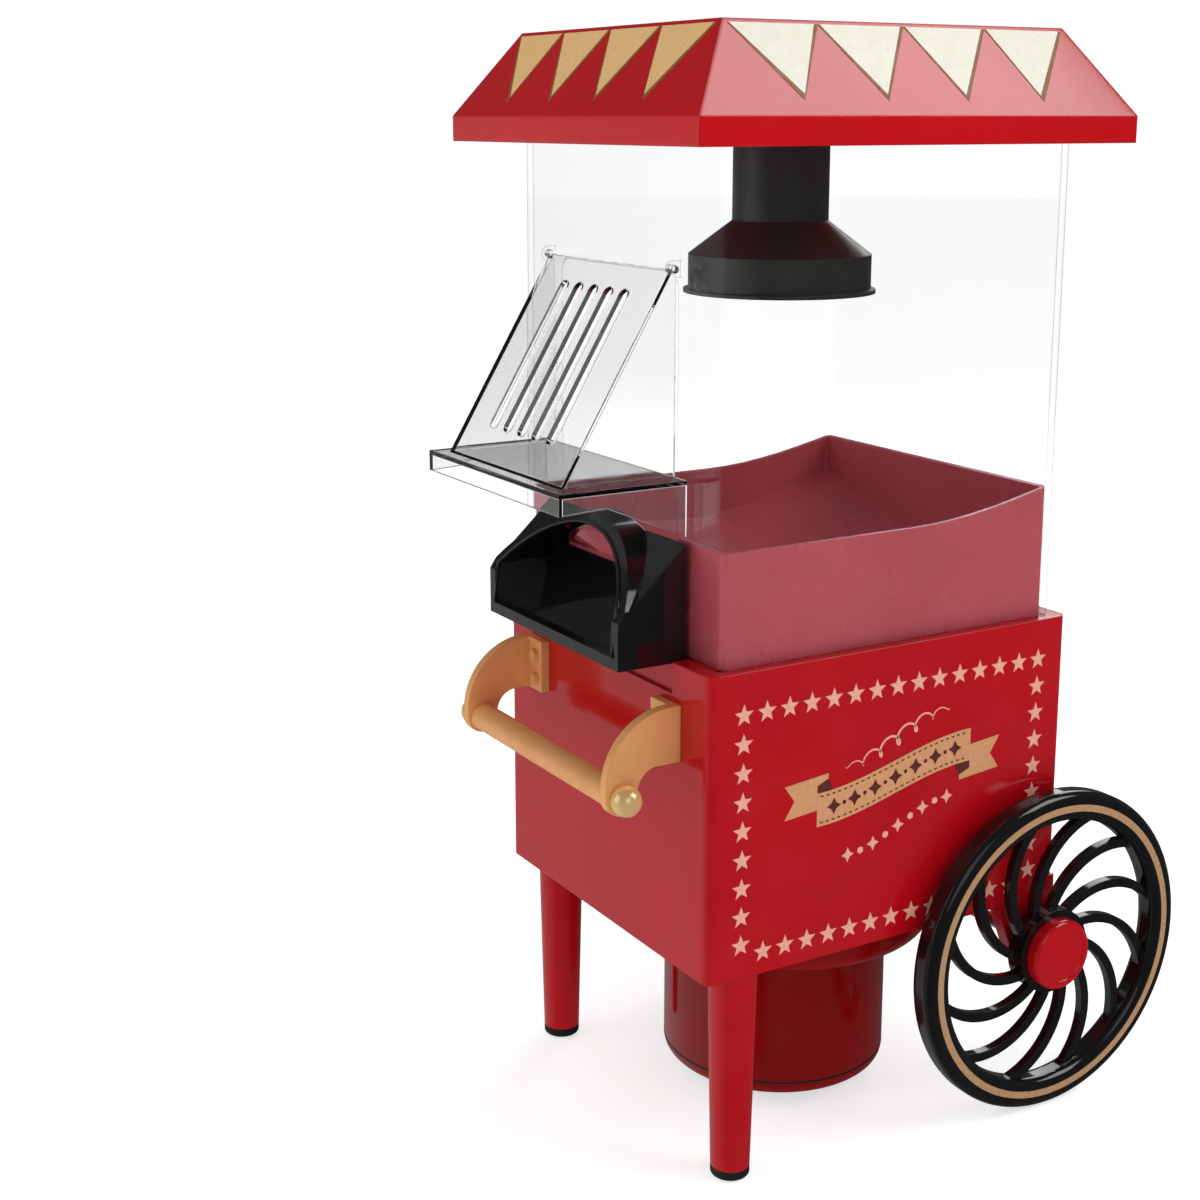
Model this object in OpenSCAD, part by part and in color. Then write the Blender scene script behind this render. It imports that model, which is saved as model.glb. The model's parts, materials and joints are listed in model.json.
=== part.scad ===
// Table-top hot-air popcorn maker in the shape of a two-wheeled street cart.
// The front faces -Y and +Z is up. The origin is on the floor, under the middle of the whole machine.

/* [Body] */
// Width of the red body
body_w = 152; // [140:1:190]
// Depth of the red body, front to back
body_d = 171; // [160:1:210]
// Height of the body's walls
body_h = 118; // [110:1:150]
// Height of the body's lower edge above the floor
body_lift = 85; // [82:1:105]
// Wall thickness of the body
body_wall = 2.5; // [2:0.1:3.5]
// Radius of the body's upright corners
body_corner = 4; // [3.5:0.5:8]

/* [Underside] */
// Radius of the round pan under the body
pan_r = 66; // [60:1:70]
// Depth of the pan below the body's lower edge
pan_drop = 17; // [12:1:22]
// Radius of the pan's lower edge round
pan_round = 8; // [4:1:10]
// Outside radius of the motor base
base_r = 46.6; // [44:0.2:52]
// Gap between the motor base and the floor
base_gap = 6; // [5:0.5:10]
// Radius of the motor base's lower edge round
base_round = 6; // [3:0.5:7]

/* [Front legs] */
// Distance from each leg's axis to the body's side
leg_inset_x = 10; // [10:0.5:16]
// Distance from each leg's axis to the body's front
leg_inset_y = 18.5; // [10:0.5:26]
// Radius of a leg at the body
leg_top_r = 9.5; // [8:0.1:9.8]
// Radius of a leg at its foot
leg_foot_r = 7.6; // [6:0.1:9]
// Height of the rubber tips
foot_h = 4; // [3:0.5:10]

/* [Wheels] */
// Outside radius of a wheel
wheel_r = 67; // [55:1:80]
// Distance from the axle to the body's back
axle_inset = 11; // [9:0.5:25]
// Gap between the body's side and a wheel's rim
wheel_gap = 4; // [3:0.5:10]
// Width of a wheel's rim along the axle
rim_t = 11; // [8:0.5:16]
// Radial depth of a wheel's rim
rim_depth = 12; // [8:0.5:16]
// Radius of a wheel's hub
hub_r = 17.5; // [12:0.5:22]
// Number of spokes
spoke_count = 12; // [8:1:14]
// Width of a spoke across the wheel's face
spoke_w = 3.8; // [3:0.1:5]
// Thickness of a spoke along the axle
spoke_t = 3.5; // [3:0.5:8]
// Angle between a spoke's two ends, seen from the hub
spoke_lag = 50; // [20:5:60]
// Angle that a spoke's arc turns through
spoke_arc = 85; // [40:5:95]
// Radius of the axle
axle_r = 3; // [2.5:0.1:4]
// Radius of the red hub caps
hub_cap_r = 14.5; // [10:0.5:17]
// Height of the red hub caps above the hub
hub_cap_h = 5.5; // [5:0.5:10]

/* [Clear chamber] */
// Ledge between the chamber's side and the body's side
ledge_x = 3; // [2.8:0.1:6]
// Ledge between the chamber's front and the body's front
ledge_y = 6.5; // [6:0.5:12]
// Height of the chamber that shows between the body and the roof
chamber_h = 185; // [160:1:230]
// Wall thickness of the chamber
chamber_wall = 2; // [1.6:0.1:3]
// Radius of the chamber's upright corners
chamber_corner = 4; // [3:0.5:8]
// Width of the doorway in the chamber's front
door_w = 86; // [70:1:96]
// Distance from the doorway's top to the roof's lower edge
door_drop = 45; // [30:1:60]

/* [Roof] */
// Overhang of the roof past the chamber's sides
eave_x = 17; // [12:1:24]
// Overhang of the roof past the chamber's front and back
eave_y = 19; // [14:1:26]
// Distance that the roof sits forward of the chamber's middle
roof_shift = 4; // [0:0.5:6]
// Height of the upright band round the roof's lower edge
fascia_h = 10; // [6:0.5:16]
// Height of the roof's slopes
slope_h = 32; // [24:1:45]
// How far the slopes lean in, sideways
slope_in_x = 19.5; // [12:0.5:26]
// How far the slopes lean in, front to back
slope_in_y = 21.5; // [12:0.5:28]
// Wall thickness of the roof
roof_wall = 2.5; // [2:0.1:3]
// Depth of the chamber's top edge inside the roof
roof_lap = 6; // [4:0.5:9]

/* [Kettle and measuring cup] */
// Outside radius of the kettle's upper tube
kettle_tube_r = 18.9; // [17:0.1:22]
// Radius of the kettle's bell
kettle_bell_r = 36; // [30:0.5:40]
// Length of the kettle's tube below the roof's lower edge
kettle_tube_h = 30; // [20:1:50]
// Height of the kettle's cone
kettle_cone_h = 13; // [8:0.5:20]
// Height of the kettle's upright band
kettle_band_h = 15; // [10:0.5:24]
// Width of the lip round the kettle's mouth
kettle_lip = 1.9; // [1:0.1:3]
// Wall thickness of the kettle
kettle_wall = 2; // [1.5:0.1:2.5]
// Depth of the measuring cup in the roof
cup_depth = 34; // [25:1:40]

/* [Hood] */
// Width of the hood's slotted panel
hood_w = 88; // [80:1:96]
// How far the hood's tray reaches in front of the chamber
hood_reach = 54; // [45:1:60]
// Height of the hood's sloping panel
hood_h = 75; // [60:1:90]
// Distance from the slotted panel's foot to the tray's front edge
tray_nose = 5; // [4:0.5:10]
// Width of the hood's tray
tray_w = 104; // [102:1:112]
// Depth of the tray's front lip
tray_lip = 8; // [5:0.5:10]
// Depth of the tray's side skirts at the chamber
tray_skirt = 21; // [12:0.5:22]
// Thickness of the clear plastic
hood_t = 1.8; // [1.4:0.1:2.4]
// Number of slots in the panel
slot_count = 5; // [3:1:6]
// Distance between the slots' middles
slot_pitch = 11; // [9:0.5:12]
// Width of a slot
slot_w = 5.6; // [4:0.1:7]

/* [Chute] */
// Outside width of the chute
chute_w = 100; // [92:1:100]
// How far the chute reaches in front of the body's front
chute_reach = 22.5; // [15:0.5:35]
// Height of the chute above the body's top edge
chute_h = 47; // [40:1:50]
// Height of the upright sides of the chute's arch
chute_side = 22; // [15:0.5:26]
// Height of the chute's side walls at the chamber
chute_back_h = 44; // [30:1:46]
// Height of the chute's front edge before it slopes back
chute_nose = 18; // [12:0.5:21]
// Distance that the arch is set back from the front edge
chute_rake = 20; // [10:0.5:24]
// Width of the rim round the chute's mouth
chute_rim = 4.5; // [3:0.5:6]
// Height of the top of the ramp inside the chute
ramp_h = 26; // [20:1:28]
// Wall thickness of the chute's neck
chute_wall = 2.5; // [2:0.1:3]

/* [Handle] */
// Distance between the outer faces of the handle's two brackets
handle_w = 114; // [90:1:130]
// Distance from the body's front to the bar's axis
handle_reach = 25; // [22:0.5:35]
// Height of the bar's axis above the body's lower edge
handle_z = 72; // [50:1:85]
// Radius of the bar
handle_bar_r = 5.5; // [4:0.1:6.5]
// Thickness of a bracket
bracket_t = 4; // [3:0.5:6]
// Width of a bracket's foot along the body
bracket_foot_w = 15; // [12:0.5:20]
// Height of a bracket above the bar's axis
bracket_rise = 31; // [26:0.5:36]
// Radius of the ball ends
ball_r = 5.8; // [5:0.1:9]

/* [Popping works] */
// Inside radius of the popping cup
pop_r = 34; // [30:0.5:36]
// Depth of the popping cup
pop_h = 72; // [50:1:80]
// Thickness of the popping cup's metal
pop_wall = 1; // [0.8:0.1:1.5]
// Number of air vents in the popping cup
vent_count = 12; // [8:1:16]
// Radius of the motor
motor_r = 18; // [15:0.5:20]
// Length of the motor
motor_h = 34; // [28:1:36]
// Radius of the motor's shaft
shaft_r = 1.6; // [1.2:0.1:2.5]
// Radius of the fan
fan_r = 33; // [28:0.5:34]
// Height of the fan's blades
fan_h = 10; // [6:0.5:11]
// Number of fan blades
blade_count = 10; // [6:1:14]
// Radius of the heater coil
coil_r = 26; // [20:0.5:28]
// Number of turns in the heater coil
coil_turns = 6; // [4:1:7]

/* [Switch and cord entry] */
// Width of the switch's opening
switch_w = 13; // [12:0.5:18]
// Height of the switch's opening
switch_h = 20; // [19:0.5:26]
// Radius of the cord entry's bore
entry_r = 3.4; // [3:0.1:4.5]

/* [Hidden] */

$fn = 96;
eps = 0.01; // overlap of a cutter past the face it cuts
cut = 1; // longer overlap for through cuts

// Clearances
slip = 0.3; // gap between pieces that lift apart or sit side by side
snug = 0.1; // gap round a screw or a tenon
running = 0.05; // radial gap round a turning shaft

// Colours
red = [0.66, 0.02, 0.06];
black = [0.04, 0.04, 0.045];
gold = [0.82, 0.56, 0.3];
clear = [0.85, 0.92, 0.95, 0.35];
steel = [0.72, 0.73, 0.75];
mica = [0.78, 0.72, 0.6];

// Body
body_x = body_w / 2;
body_y = body_d / 2;
body_top = body_lift + body_h;
deck_t = 3;
wall_cut = 5; // depth of a cutter that passes through one wall
inner_w = body_w - 2 * body_wall;
inner_d = body_d - 2 * body_wall;
recess_depth = 1.5;
recess_drop = 12;

// Underside
plate_t = 2.5;
pan_wall = 2.2;
pan_z = body_lift - pan_drop;
pan_hole_r = 37;
base_wall = 2.2;
base_flange_r = 37;
base_flange_t = 2.5;
grille_r = base_r - base_round - 2;
grille_t = 2.5;
screw_r = 1.5;
screw_head_r = 3;
screw_head_h = 1.8;
pan_screw_x = inner_w / 2 - 6;
boss_r = 4;
boss_h = 16;
base_boss_r = 3;
base_screw_r = base_flange_r + base_boss_r;
base_screw_count = 3;

// Legs
leg_x = body_x - leg_inset_x;
leg_y = -body_y + leg_inset_y;
tenon_r = 4.5;
tenon_h = plate_t;
leg_screw_head_r = 6.5;
leg_screw_l = 14;
foot_peg_r = 3.5;
foot_peg_h = 8;
foot_round = 1.5;

// Wheels and axle
axle_y = body_y - axle_inset;
axle_z = wheel_r;
wheel_x = body_x + wheel_gap + rim_t / 2;
hub_t = rim_t - 3;
hub_out = wheel_x + hub_t / 2;
rim_in_r = wheel_r - rim_depth;
rim_round = 3.5;
lug_t = 6;
lug_r = axle_inset;
lug_top = body_lift + 8;
lug_reach = lug_r + 7;
pan_screw_y = [-body_y + 44, axle_y - lug_reach - 8];
clip_t = 1;
clip_r = 5;
axle_end = hub_out + slip + clip_t + 1.2;
hub_cap_cup_r = clip_r + 1;
spacer_r = 6;

// Chamber
chamber_w = body_w - 2 * ledge_x;
chamber_d = body_d - 2 * ledge_y;
chamber_x = chamber_w / 2;
chamber_y = chamber_d / 2;
roof_z = body_top + chamber_h;
chamber_top = roof_z + roof_lap;
door_top = roof_z - door_drop;
door_round = 6;

// Roof
roof_w = chamber_w + 2 * eave_x;
roof_d = chamber_d + 2 * eave_y;
roof_y = -roof_shift;
roof_h = fascia_h + slope_h;
roof_top = roof_z + roof_h;
rib_t = 1.8;

// Kettle and measuring cup
kettle_flange_r = kettle_tube_r + 5;
kettle_flange_t = 2;
kettle_bore_r = kettle_tube_r - kettle_wall;
cone_z = roof_z - kettle_tube_h;
band_z = cone_z - kettle_cone_h;
kettle_z = band_z - kettle_band_h;
cup_r = kettle_bore_r - slip;
cup_wall = 1.4;
cup_flange_r = kettle_bore_r + 4.5;
cup_flange_t = 1.8;
cup_grip_t = 2.4;
cup_grip_h = 9;

// Hood
hinge_y = -chamber_y - 3.6;
hinge_z = door_top + 2;
hood_back = -chamber_y - slip - 1.2;
tray_z = hinge_z - hood_h;
tray_front = -chamber_y - hood_reach;
panel_foot = tray_front + tray_nose;
panel_lean = atan2(hinge_y - 0.5 - panel_foot, hood_h);
panel_l = hood_h / cos(panel_lean);
pin_r = 1.5;
ear_t = 2.2;
ear_r = 3;
slot_top = 10;
slot_foot = 14;

// Chute
chute_z = body_top - 1;
chute_front = -body_y - chute_reach;
chute_back = -chamber_y - slip;
chute_top = chute_z + chute_h + 1;
arch_rise = chute_top - chute_z - chute_side;
arch_r = (pow(chute_w / 2, 2) + pow(arch_rise, 2)) / (2 * arch_rise);
neck_w = door_w - 1.2;
neck_side = chute_side + 6;
neck_h = chute_h - 3;
neck_end = -chamber_y + chamber_wall - snug;

// Hopper
skirt_w = chamber_w - 2 * chamber_wall - 2 * slip;
skirt_d = chamber_d - 2 * chamber_wall - 2 * slip;
hopper_wall = 2;
hopper_front = body_top + 43;
hopper_back = body_top + 53;
hopper_level = 0.56; // share of the depth over which the rim runs level
mouth_z = body_top + 5;
hopper_corner_r = norm([skirt_w / 2, skirt_d / 2]);
cone_rise = hopper_front - 4 - mouth_z;
collar_h = 6;
exit_w = neck_w - 2 * chute_wall + 2;
exit_z = chute_z + ramp_h + 1;

// Handle
bar_y = -body_y - handle_reach;
bar_z = body_lift + handle_z;
arm_w = 2 * handle_bar_r + 2.4;
bow_r = handle_reach + arm_w / 2 - 4;
bracket_foot_z = bar_z + 9.5;
bracket_foot_t = 3.6;
handle_screw_z = [5, 15];
handle_screw_l = 9;
handle_screw_head_r = 2.4;

// Popping works
flange_w = 6;
duct_wall = 0.8;
duct_r = pop_r + pop_wall + 6;
pop_top = mouth_z - slip;
duct_top = pop_top - pop_wall;
duct_z = pan_z + 20;
shroud_wall = 2;
shroud_r = duct_r + 2.2;
shroud_floor = pan_z + pan_wall;
plate_z = pan_z - 8;
motor_plate_t = 2;
motor_z = plate_z - motor_h;
motor_cap_t = 2;
motor_screw_x = 11;
motor_screw_head_r = 2.5;
boss_top_r = 5;
fan_z = shroud_floor + 3;
fan_plate_t = 1.2;
fan_hub_r = 5;
shaft_top = fan_z + fan_h;
shaft_foot = motor_z + 4;
coil_wire_r = 0.7;
coil_z = duct_z + 8;
coil_h = pop_top - pop_h - coil_z - 8;
mica_t = 0.8;
mica_w = 2 * (coil_r - coil_wire_r - snug);
board_r = 15;
board_t = 1.6;
board_z = motor_z - motor_cap_t - board_t;

// Switch and cord entry on the body's back
switch_x = -body_x / 2;
switch_z = body_lift + 50;
switch_flange = 3;
switch_flange_t = 1.8;
switch_depth = 13;
rocker_w = switch_w - 4.4;
rocker_l = 14;
rocker_tilt = 8;
rocker_pin_r = 1;
pin_reach = 1.3; // depth of the pin holes beside the rocker
rocker_y = body_y - 1.6;
entry_x = body_x / 2;
entry_z = body_lift + 26;
entry_body_r = entry_r + 3;
entry_flange_r = entry_r + 5.6;
louvre_count = 6;
louvre_w = 34;
louvre_h = 2.6;
louvre_pitch = 7;
louvre_z = body_lift + 28;

// Shift that puts the origin midway between the hood's front and the wheels' backs
frame_y = -(tray_front + axle_y + wheel_r) / 2;

// ---- shared shapes ----

// Moves a piece from the body's middle to its place in the whole machine
module place() translate([0, frame_y, 0]) children();

// Rectangle about the origin with rounded corners
module rounded_rect(w, d, r) {
    square([w - 2 * r, d], center = true);
    square([w, d - 2 * r], center = true);
    for (x = [-1, 1], y = [-1, 1])
        translate([x * (w / 2 - r), y * (d / 2 - r)]) circle(r);
}

// Upright prism on a rounded rectangle
module prism(w, d, r, z0, z1) {
    translate([0, 0, z0]) linear_extrude(z1 - z0) rounded_rect(w, d, r);
}

// Box from its lowest corner to its highest
module block(lo, hi) {
    translate(lo) cube(hi - lo);
}

// Upright rod or ring
module rod(r, z0, z1, bore = 0) {
    translate([0, 0, z0]) difference() {
        cylinder(r = r, h = z1 - z0);
        if (bore > 0) translate([0, 0, -cut]) cylinder(r = bore, h = z1 - z0 + 2 * cut);
    }
}

// Rod along X at a given y and z
module rod_x(r, x0, x1, y, z) {
    translate([x0, y, z]) rotate([0, 90, 0]) cylinder(r = r, h = x1 - x0);
}

// Rod along Y at a given x and z
module rod_y(r, y0, y1, x, z) {
    translate([x, y0, z]) rotate([-90, 0, 0]) cylinder(r = r, h = y1 - y0);
}

// A side profile drawn as [y, z] points, given a width about the middle plane or between two x values
module profile_x(x0, x1) {
    translate([x0, 0, 0]) rotate([90, 0, 90]) linear_extrude(x1 - x0) children();
}

// A front profile drawn as [x, z], carried from y0 to y1
module profile_y(y0, y1) {
    translate([0, y1, 0]) rotate([90, 0, 0]) linear_extrude(y1 - y0) children();
}

// Section of a wall that bends through the lower right quarter of a circle
module quarter_bend(r, wall) {
    intersection() {
        difference() {
            circle(r);
            circle(r - wall);
        }
        translate([0, -r]) square(r);
    }
}

// Copies a child to the same place on the left and on the right
module both_sides() {
    children();
    mirror([1, 0, 0]) children();
}

// A pan-head screw whose head's underside is at the origin, with its shank along -Z
module screw(l, r = screw_r, head_r = screw_head_r) {
    translate([0, 0, -l]) cylinder(r = r, h = l + eps);
    cylinder(r = head_r, h = screw_head_h);
}

// ---- body and underside ----

module body_shell() color(red) difference() {
    union() {
        difference() {
            prism(body_w, body_d, body_corner, body_lift, body_top);
            prism(inner_w, inner_d, body_corner - body_wall / 2, body_lift - cut, body_top - deck_t);
            prism(skirt_w - 8, skirt_d - 8, body_corner, body_top - deck_t - cut, body_top + cut);
        }
        both_sides() axle_lug();
        both_sides() for (y = pan_screw_y) pan_boss(y);
    }
    rod_x(axle_r + snug, -body_x - cut, body_x + cut, axle_y, axle_z);
    front_recess();
    both_sides() handle_screw_places() rod(screw_r + snug, -wall_cut, wall_cut);
    switch_block(switch_w, switch_h, body_y - wall_cut, body_y + cut);
    rod_y(entry_body_r + snug, body_y - wall_cut, body_y + cut, entry_x, entry_z);
    for (i = [0:louvre_count - 1]) louvre(louvre_z + i * louvre_pitch);
}

// Level slot through the body's back that lets air in
module louvre(z) {
    block([-louvre_w / 2, body_y - wall_cut, z], [louvre_w / 2, body_y + cut, z + louvre_h]);
}

// Lug that carries the axle below the body's side, wider at its top
module axle_lug() {
    profile_x(body_x - lug_t, body_x) {
        translate([axle_y, axle_z]) circle(lug_r);
        polygon([
            [axle_y + lug_r, axle_z],
            [axle_y + lug_r, lug_top],
            [axle_y - lug_reach, lug_top],
            [axle_y - lug_reach, body_lift - 2],
            [axle_y - lug_r * cos(30), axle_z - lug_r * sin(30)]
        ]);
    }
}

// Blind boss inside the body that takes one of the pan's screws
module pan_boss(y) {
    translate([pan_screw_x, y, 0]) {
        rod(boss_r, body_lift + plate_t, body_lift + plate_t + boss_h, screw_r + snug);
        block([boss_r - 0.5, -1.2, body_lift + plate_t],
              [body_x - body_wall / 2 - pan_screw_x, 1.2, body_lift + plate_t + boss_h]);
    }
}

// Shallow step in the body's front under the chute, and the notch that the chute's floor crosses
module front_recess() {
    w = chute_w / 2 + 1;
    block([-w, -body_y - cut, body_top - recess_drop], [w, -body_y + recess_depth, body_top + cut]);
    block([-w, -body_y - cut, chute_z], [w, -chamber_y + 2 * ledge_y, body_top + cut]);
}

module under_pan() color(red) difference() {
    union() {
        prism(inner_w - 2 * slip, inner_d - 2 * slip, body_corner - body_wall / 2,
              body_lift, body_lift + plate_t);
        rotate_extrude() pan_profile();
    }
    rod(pan_r - pan_wall, body_lift - eps, body_lift + plate_t + cut);
    both_sides() {
        translate([leg_x, leg_y, 0]) rod(tenon_r + snug, body_lift - cut, body_lift + plate_t + cut);
        for (y = pan_screw_y)
            translate([pan_screw_x, y, 0]) rod(screw_r + snug, body_lift - cut, body_lift + plate_t + cut);
        block([body_x - lug_t - slip, axle_y - lug_reach - slip, body_lift - cut],
              [body_x, body_y, lug_top + cut]);
    }
    base_screw_places() rod(screw_r + snug, pan_z - cut, pan_z + pan_wall + cut);
}

// Section of the round pan, from its wall to the hole over the fan
module pan_profile() {
    top = body_lift + plate_t;
    translate([pan_hole_r, pan_z]) square([pan_r - pan_round - pan_hole_r, pan_wall]);
    translate([pan_r - pan_wall, pan_z + pan_round]) square([pan_wall, top - pan_z - pan_round]);
    translate([pan_r - pan_round, pan_z + pan_round]) quarter_bend(pan_round, pan_wall);
}

// Places of the screws between the motor base and the pan
module base_screw_places() {
    for (i = [0:base_screw_count - 1])
        rotate([0, 0, 90 + i * 360 / base_screw_count]) translate([base_screw_r, 0, 0]) children();
}

module base_housing() color(red) difference() {
    union() {
        rotate_extrude() {
            translate([base_r - base_wall, base_gap + base_round])
                square([base_wall, pan_z - base_gap - base_round]);
            translate([base_r - base_round, base_gap + base_round]) quarter_bend(base_round, base_wall);
            translate([grille_r + slip, base_gap])
                square([base_r - base_round - grille_r - slip + eps, base_wall]);
        }
        rod(base_r - base_wall + eps, pan_z - base_flange_t, pan_z, base_flange_r);
        base_screw_places() rod(base_boss_r, plate_z + motor_plate_t, pan_z - base_flange_t + eps);
    }
    base_screw_places() rod(screw_r + snug, plate_z, pan_z + cut);
}

module intake_grille() color(black) {
    z0 = base_gap + 0.4;
    ring_w = 2.4;
    rib_w = 2.4;
    rings = 5;
    step = grille_r / rings;
    for (i = [1:rings])
        rod(i * step, z0, z0 + grille_t, i * step - ring_w);
    rod(4, z0, z0 + grille_t);
    for (a = [0:60:120])
        rotate([0, 0, a])
            block([-grille_r + 1, -rib_w / 2, z0 + 0.6], [grille_r - 1, rib_w / 2, z0 + grille_t + 1.2]);
    for (a = [30:120:270])
        rotate([0, 0, a]) grille_hook(z0);
}

// Snap hook that holds the grille behind the edge of the base's opening
module grille_hook(z0) {
    lip = base_gap + base_wall;
    block([grille_r - 2, -3, z0 + grille_t / 2], [grille_r - 0.4, 3, lip + 1.6]);
    block([grille_r - 1, -3, lip], [grille_r + 1.4, 3, lip + 1.6]);
}

// ---- legs ----

module leg() {
    translate([leg_x, leg_y, 0]) difference() {
        union() {
            translate([0, 0, foot_h]) cylinder(r1 = leg_foot_r, r2 = leg_top_r, h = body_lift - foot_h);
            rod(tenon_r, body_lift - eps, body_lift + tenon_h);
        }
        rod(foot_peg_r + snug, foot_h - cut, foot_h + foot_peg_h + slip);
        rod(screw_r + snug, body_lift + tenon_h - leg_screw_l - 1, body_lift + tenon_h + cut);
    }
}

module leg_left() color(red) mirror([1, 0, 0]) leg();

module leg_right() color(red) leg();

module foot_tip() {
    translate([leg_x, leg_y, 0]) {
        rotate_extrude() {
            square([leg_foot_r - foot_round, foot_h]);
            translate([0, foot_round]) square([leg_foot_r, foot_h - foot_round]);
            translate([leg_foot_r - foot_round, foot_round]) intersection() {
                circle(foot_round);
                translate([0, -foot_round]) square(foot_round + eps);
            }
        }
        rod(foot_peg_r, foot_h - eps, foot_h + foot_peg_h);
    }
}

module foot_tip_left() color(black) mirror([1, 0, 0]) foot_tip();

module foot_tip_right() color(black) foot_tip();

module leg_screws() color(steel) both_sides()
    translate([leg_x, leg_y, body_lift + tenon_h]) screw(leg_screw_l, screw_r, leg_screw_head_r);

// ---- wheels ----

module axle() color(steel) rod_x(axle_r, -axle_end, axle_end, axle_y, axle_z);

module axle_spacers() color(black) both_sides() difference() {
    rod_x(spacer_r, body_x + slip, wheel_x - hub_t / 2 - slip, axle_y, axle_z);
    rod_x(axle_r + running, 0, wheel_x, axle_y, axle_z);
}

module axle_clips() color(steel) both_sides() difference() {
    rod_x(clip_r, hub_out + slip, hub_out + slip + clip_t, axle_y, axle_z);
    rod_x(axle_r, 0, axle_end + cut, axle_y, axle_z);
}

// Puts a wheel that is drawn flat about the origin on the right-hand end of the axle
module on_axle() {
    translate([wheel_x, axle_y, axle_z]) rotate([90, 0, 90]) children();
}

module wheel() difference() {
    union() {
        rotate_extrude()
            translate([wheel_r - rim_depth / 2, 0]) rounded_rect(rim_depth, rim_t, rim_round);
        rod(hub_r, -hub_t / 2, hub_t / 2);
        for (i = [0:spoke_count - 1])
            rotate([0, 0, i * 360 / spoke_count]) spoke();
    }
    rod(axle_r + running, -rim_t, rim_t);
}

// One curved spoke: an arc from inside the hub's edge to inside the rim
module spoke() {
    a = hub_r - 1.5;
    b = rim_in_r + 2;
    foot = [a, 0];
    tip = [b * cos(spoke_lag), -b * sin(spoke_lag)];
    chord = norm(tip - foot);
    bend = chord / (2 * sin(spoke_arc / 2));
    toward = atan2(tip[1] - foot[1], tip[0] - foot[0]);
    middle = (foot + tip) / 2;
    back = bend * cos(spoke_arc / 2);
    centre = middle - back * [cos(toward + 90), sin(toward + 90)];
    translate([centre[0], centre[1], 0])
        rotate_extrude(angle = spoke_arc, start = toward + 90 - spoke_arc / 2)
            translate([bend, 0]) square([spoke_w, spoke_t], center = true);
}

module wheel_right() color(black) on_axle() wheel();

module wheel_left() color(black) mirror([1, 0, 0]) on_axle() wheel();

module hub_cap() {
    on_axle() translate([0, 0, hub_t / 2]) difference() {
        rotate_extrude() hub_cap_profile();
        rod(hub_cap_cup_r, -cut, hub_cap_h - 2.5);
    }
}

// Section of a hub cap: an upright side, a rounded edge and a dished face
module hub_cap_profile() {
    edge = 2;
    square([hub_cap_r - edge, hub_cap_h - 0.8]);
    square([hub_cap_r, hub_cap_h - edge]);
    translate([hub_cap_r - edge, hub_cap_h - edge]) circle(edge);
}

module hub_cap_right() color(red) hub_cap();

module hub_cap_left() color(red) mirror([1, 0, 0]) hub_cap();

// ---- chamber, hood, chute and hopper ----

module chamber() color(clear) {
    difference() {
        prism(chamber_w, chamber_d, chamber_corner, body_top, chamber_top);
        prism(chamber_w - 2 * chamber_wall, chamber_d - 2 * chamber_wall, chamber_corner - chamber_wall / 2,
              body_top - cut, chamber_top + cut);
        profile_y(-chamber_y - cut, -chamber_y + chamber_wall + chamber_corner) doorway();
    }
    both_sides() hinge_ear();
}

// Outline of the doorway, open at its foot so that the chamber lifts over the chute
module doorway() {
    translate([0, (door_top + body_top) / 2]) rounded_rect(door_w, door_top - body_top, door_round);
    translate([-door_w / 2, body_top - cut]) square([door_w, 2 * door_round]);
}

// Ear in front of the chamber that holds one of the hood's pins
module hinge_ear() {
    x0 = hood_w / 2 + slip;
    difference() {
        profile_x(x0, x0 + ear_t) {
            translate([hinge_y, hinge_z]) circle(ear_r);
            translate([hinge_y, hinge_z - ear_r]) square([-chamber_y - hinge_y + eps, 2 * ear_r]);
        }
        rod_x(pin_r + running, 0, x0 + ear_t + cut, hinge_y, hinge_z);
    }
}

module hood() color(clear) {
    hood_panel();
    both_sides() hood_cheek();
    hood_tray();
    both_sides() rod_x(pin_r, hood_w / 2 - hood_t, hood_w / 2 + slip + ear_t, hinge_y, hinge_z);
}

// Sloping panel with long round-ended slots
module hood_panel() {
    translate([0, panel_foot, tray_z]) rotate([90 - panel_lean, 0, 0]) translate([0, 0, -hood_t])
        linear_extrude(hood_t) difference() {
            translate([-hood_w / 2, 0]) square([hood_w, panel_l]);
            for (i = [0:slot_count - 1])
                translate([(i - (slot_count - 1) / 2) * slot_pitch, 0]) slot_outline();
        }
}

module slot_outline() {
    low = slot_foot + slot_w / 2;
    high = panel_l - slot_top - slot_w / 2;
    translate([-slot_w / 2, low]) square([slot_w, high - low]);
    for (y = [low, high]) translate([0, y]) circle(slot_w / 2);
}

// Triangular side wall between the slotted panel and the chamber's front
module hood_cheek() {
    profile_x(hood_w / 2 - hood_t, hood_w / 2) polygon([
        [panel_foot + eps, tray_z],
        [hood_back, tray_z],
        [hood_back, hinge_z - ear_r],
        [hinge_y - 0.4, hinge_z]
    ]);
}

// Flat tray under the hood, with a front lip and skirts that deepen towards the chamber
module hood_tray() {
    x = tray_w / 2;
    block([-x, tray_front, tray_z - hood_t], [x, hood_back, tray_z]);
    block([-x, tray_front, tray_z - tray_lip], [x, tray_front + hood_t, tray_z]);
    both_sides() profile_x(x - hood_t + 0.2, x) polygon([
        [tray_front, tray_z],
        [tray_front, tray_z - tray_lip],
        [tray_front + hood_reach * 0.36, tray_z - tray_lip + 1],
        [hood_back, tray_z - tray_skirt],
        [hood_back, tray_z]
    ]);
}

module chute() color(black) difference() {
    union() {
        chute_outside();
        profile_y(chute_back - eps, neck_end) neck_outline(0);
    }
    difference() {
        chute_passage();
        profile_x(-chute_w, chute_w) ramp_outline();
    }
}

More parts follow.
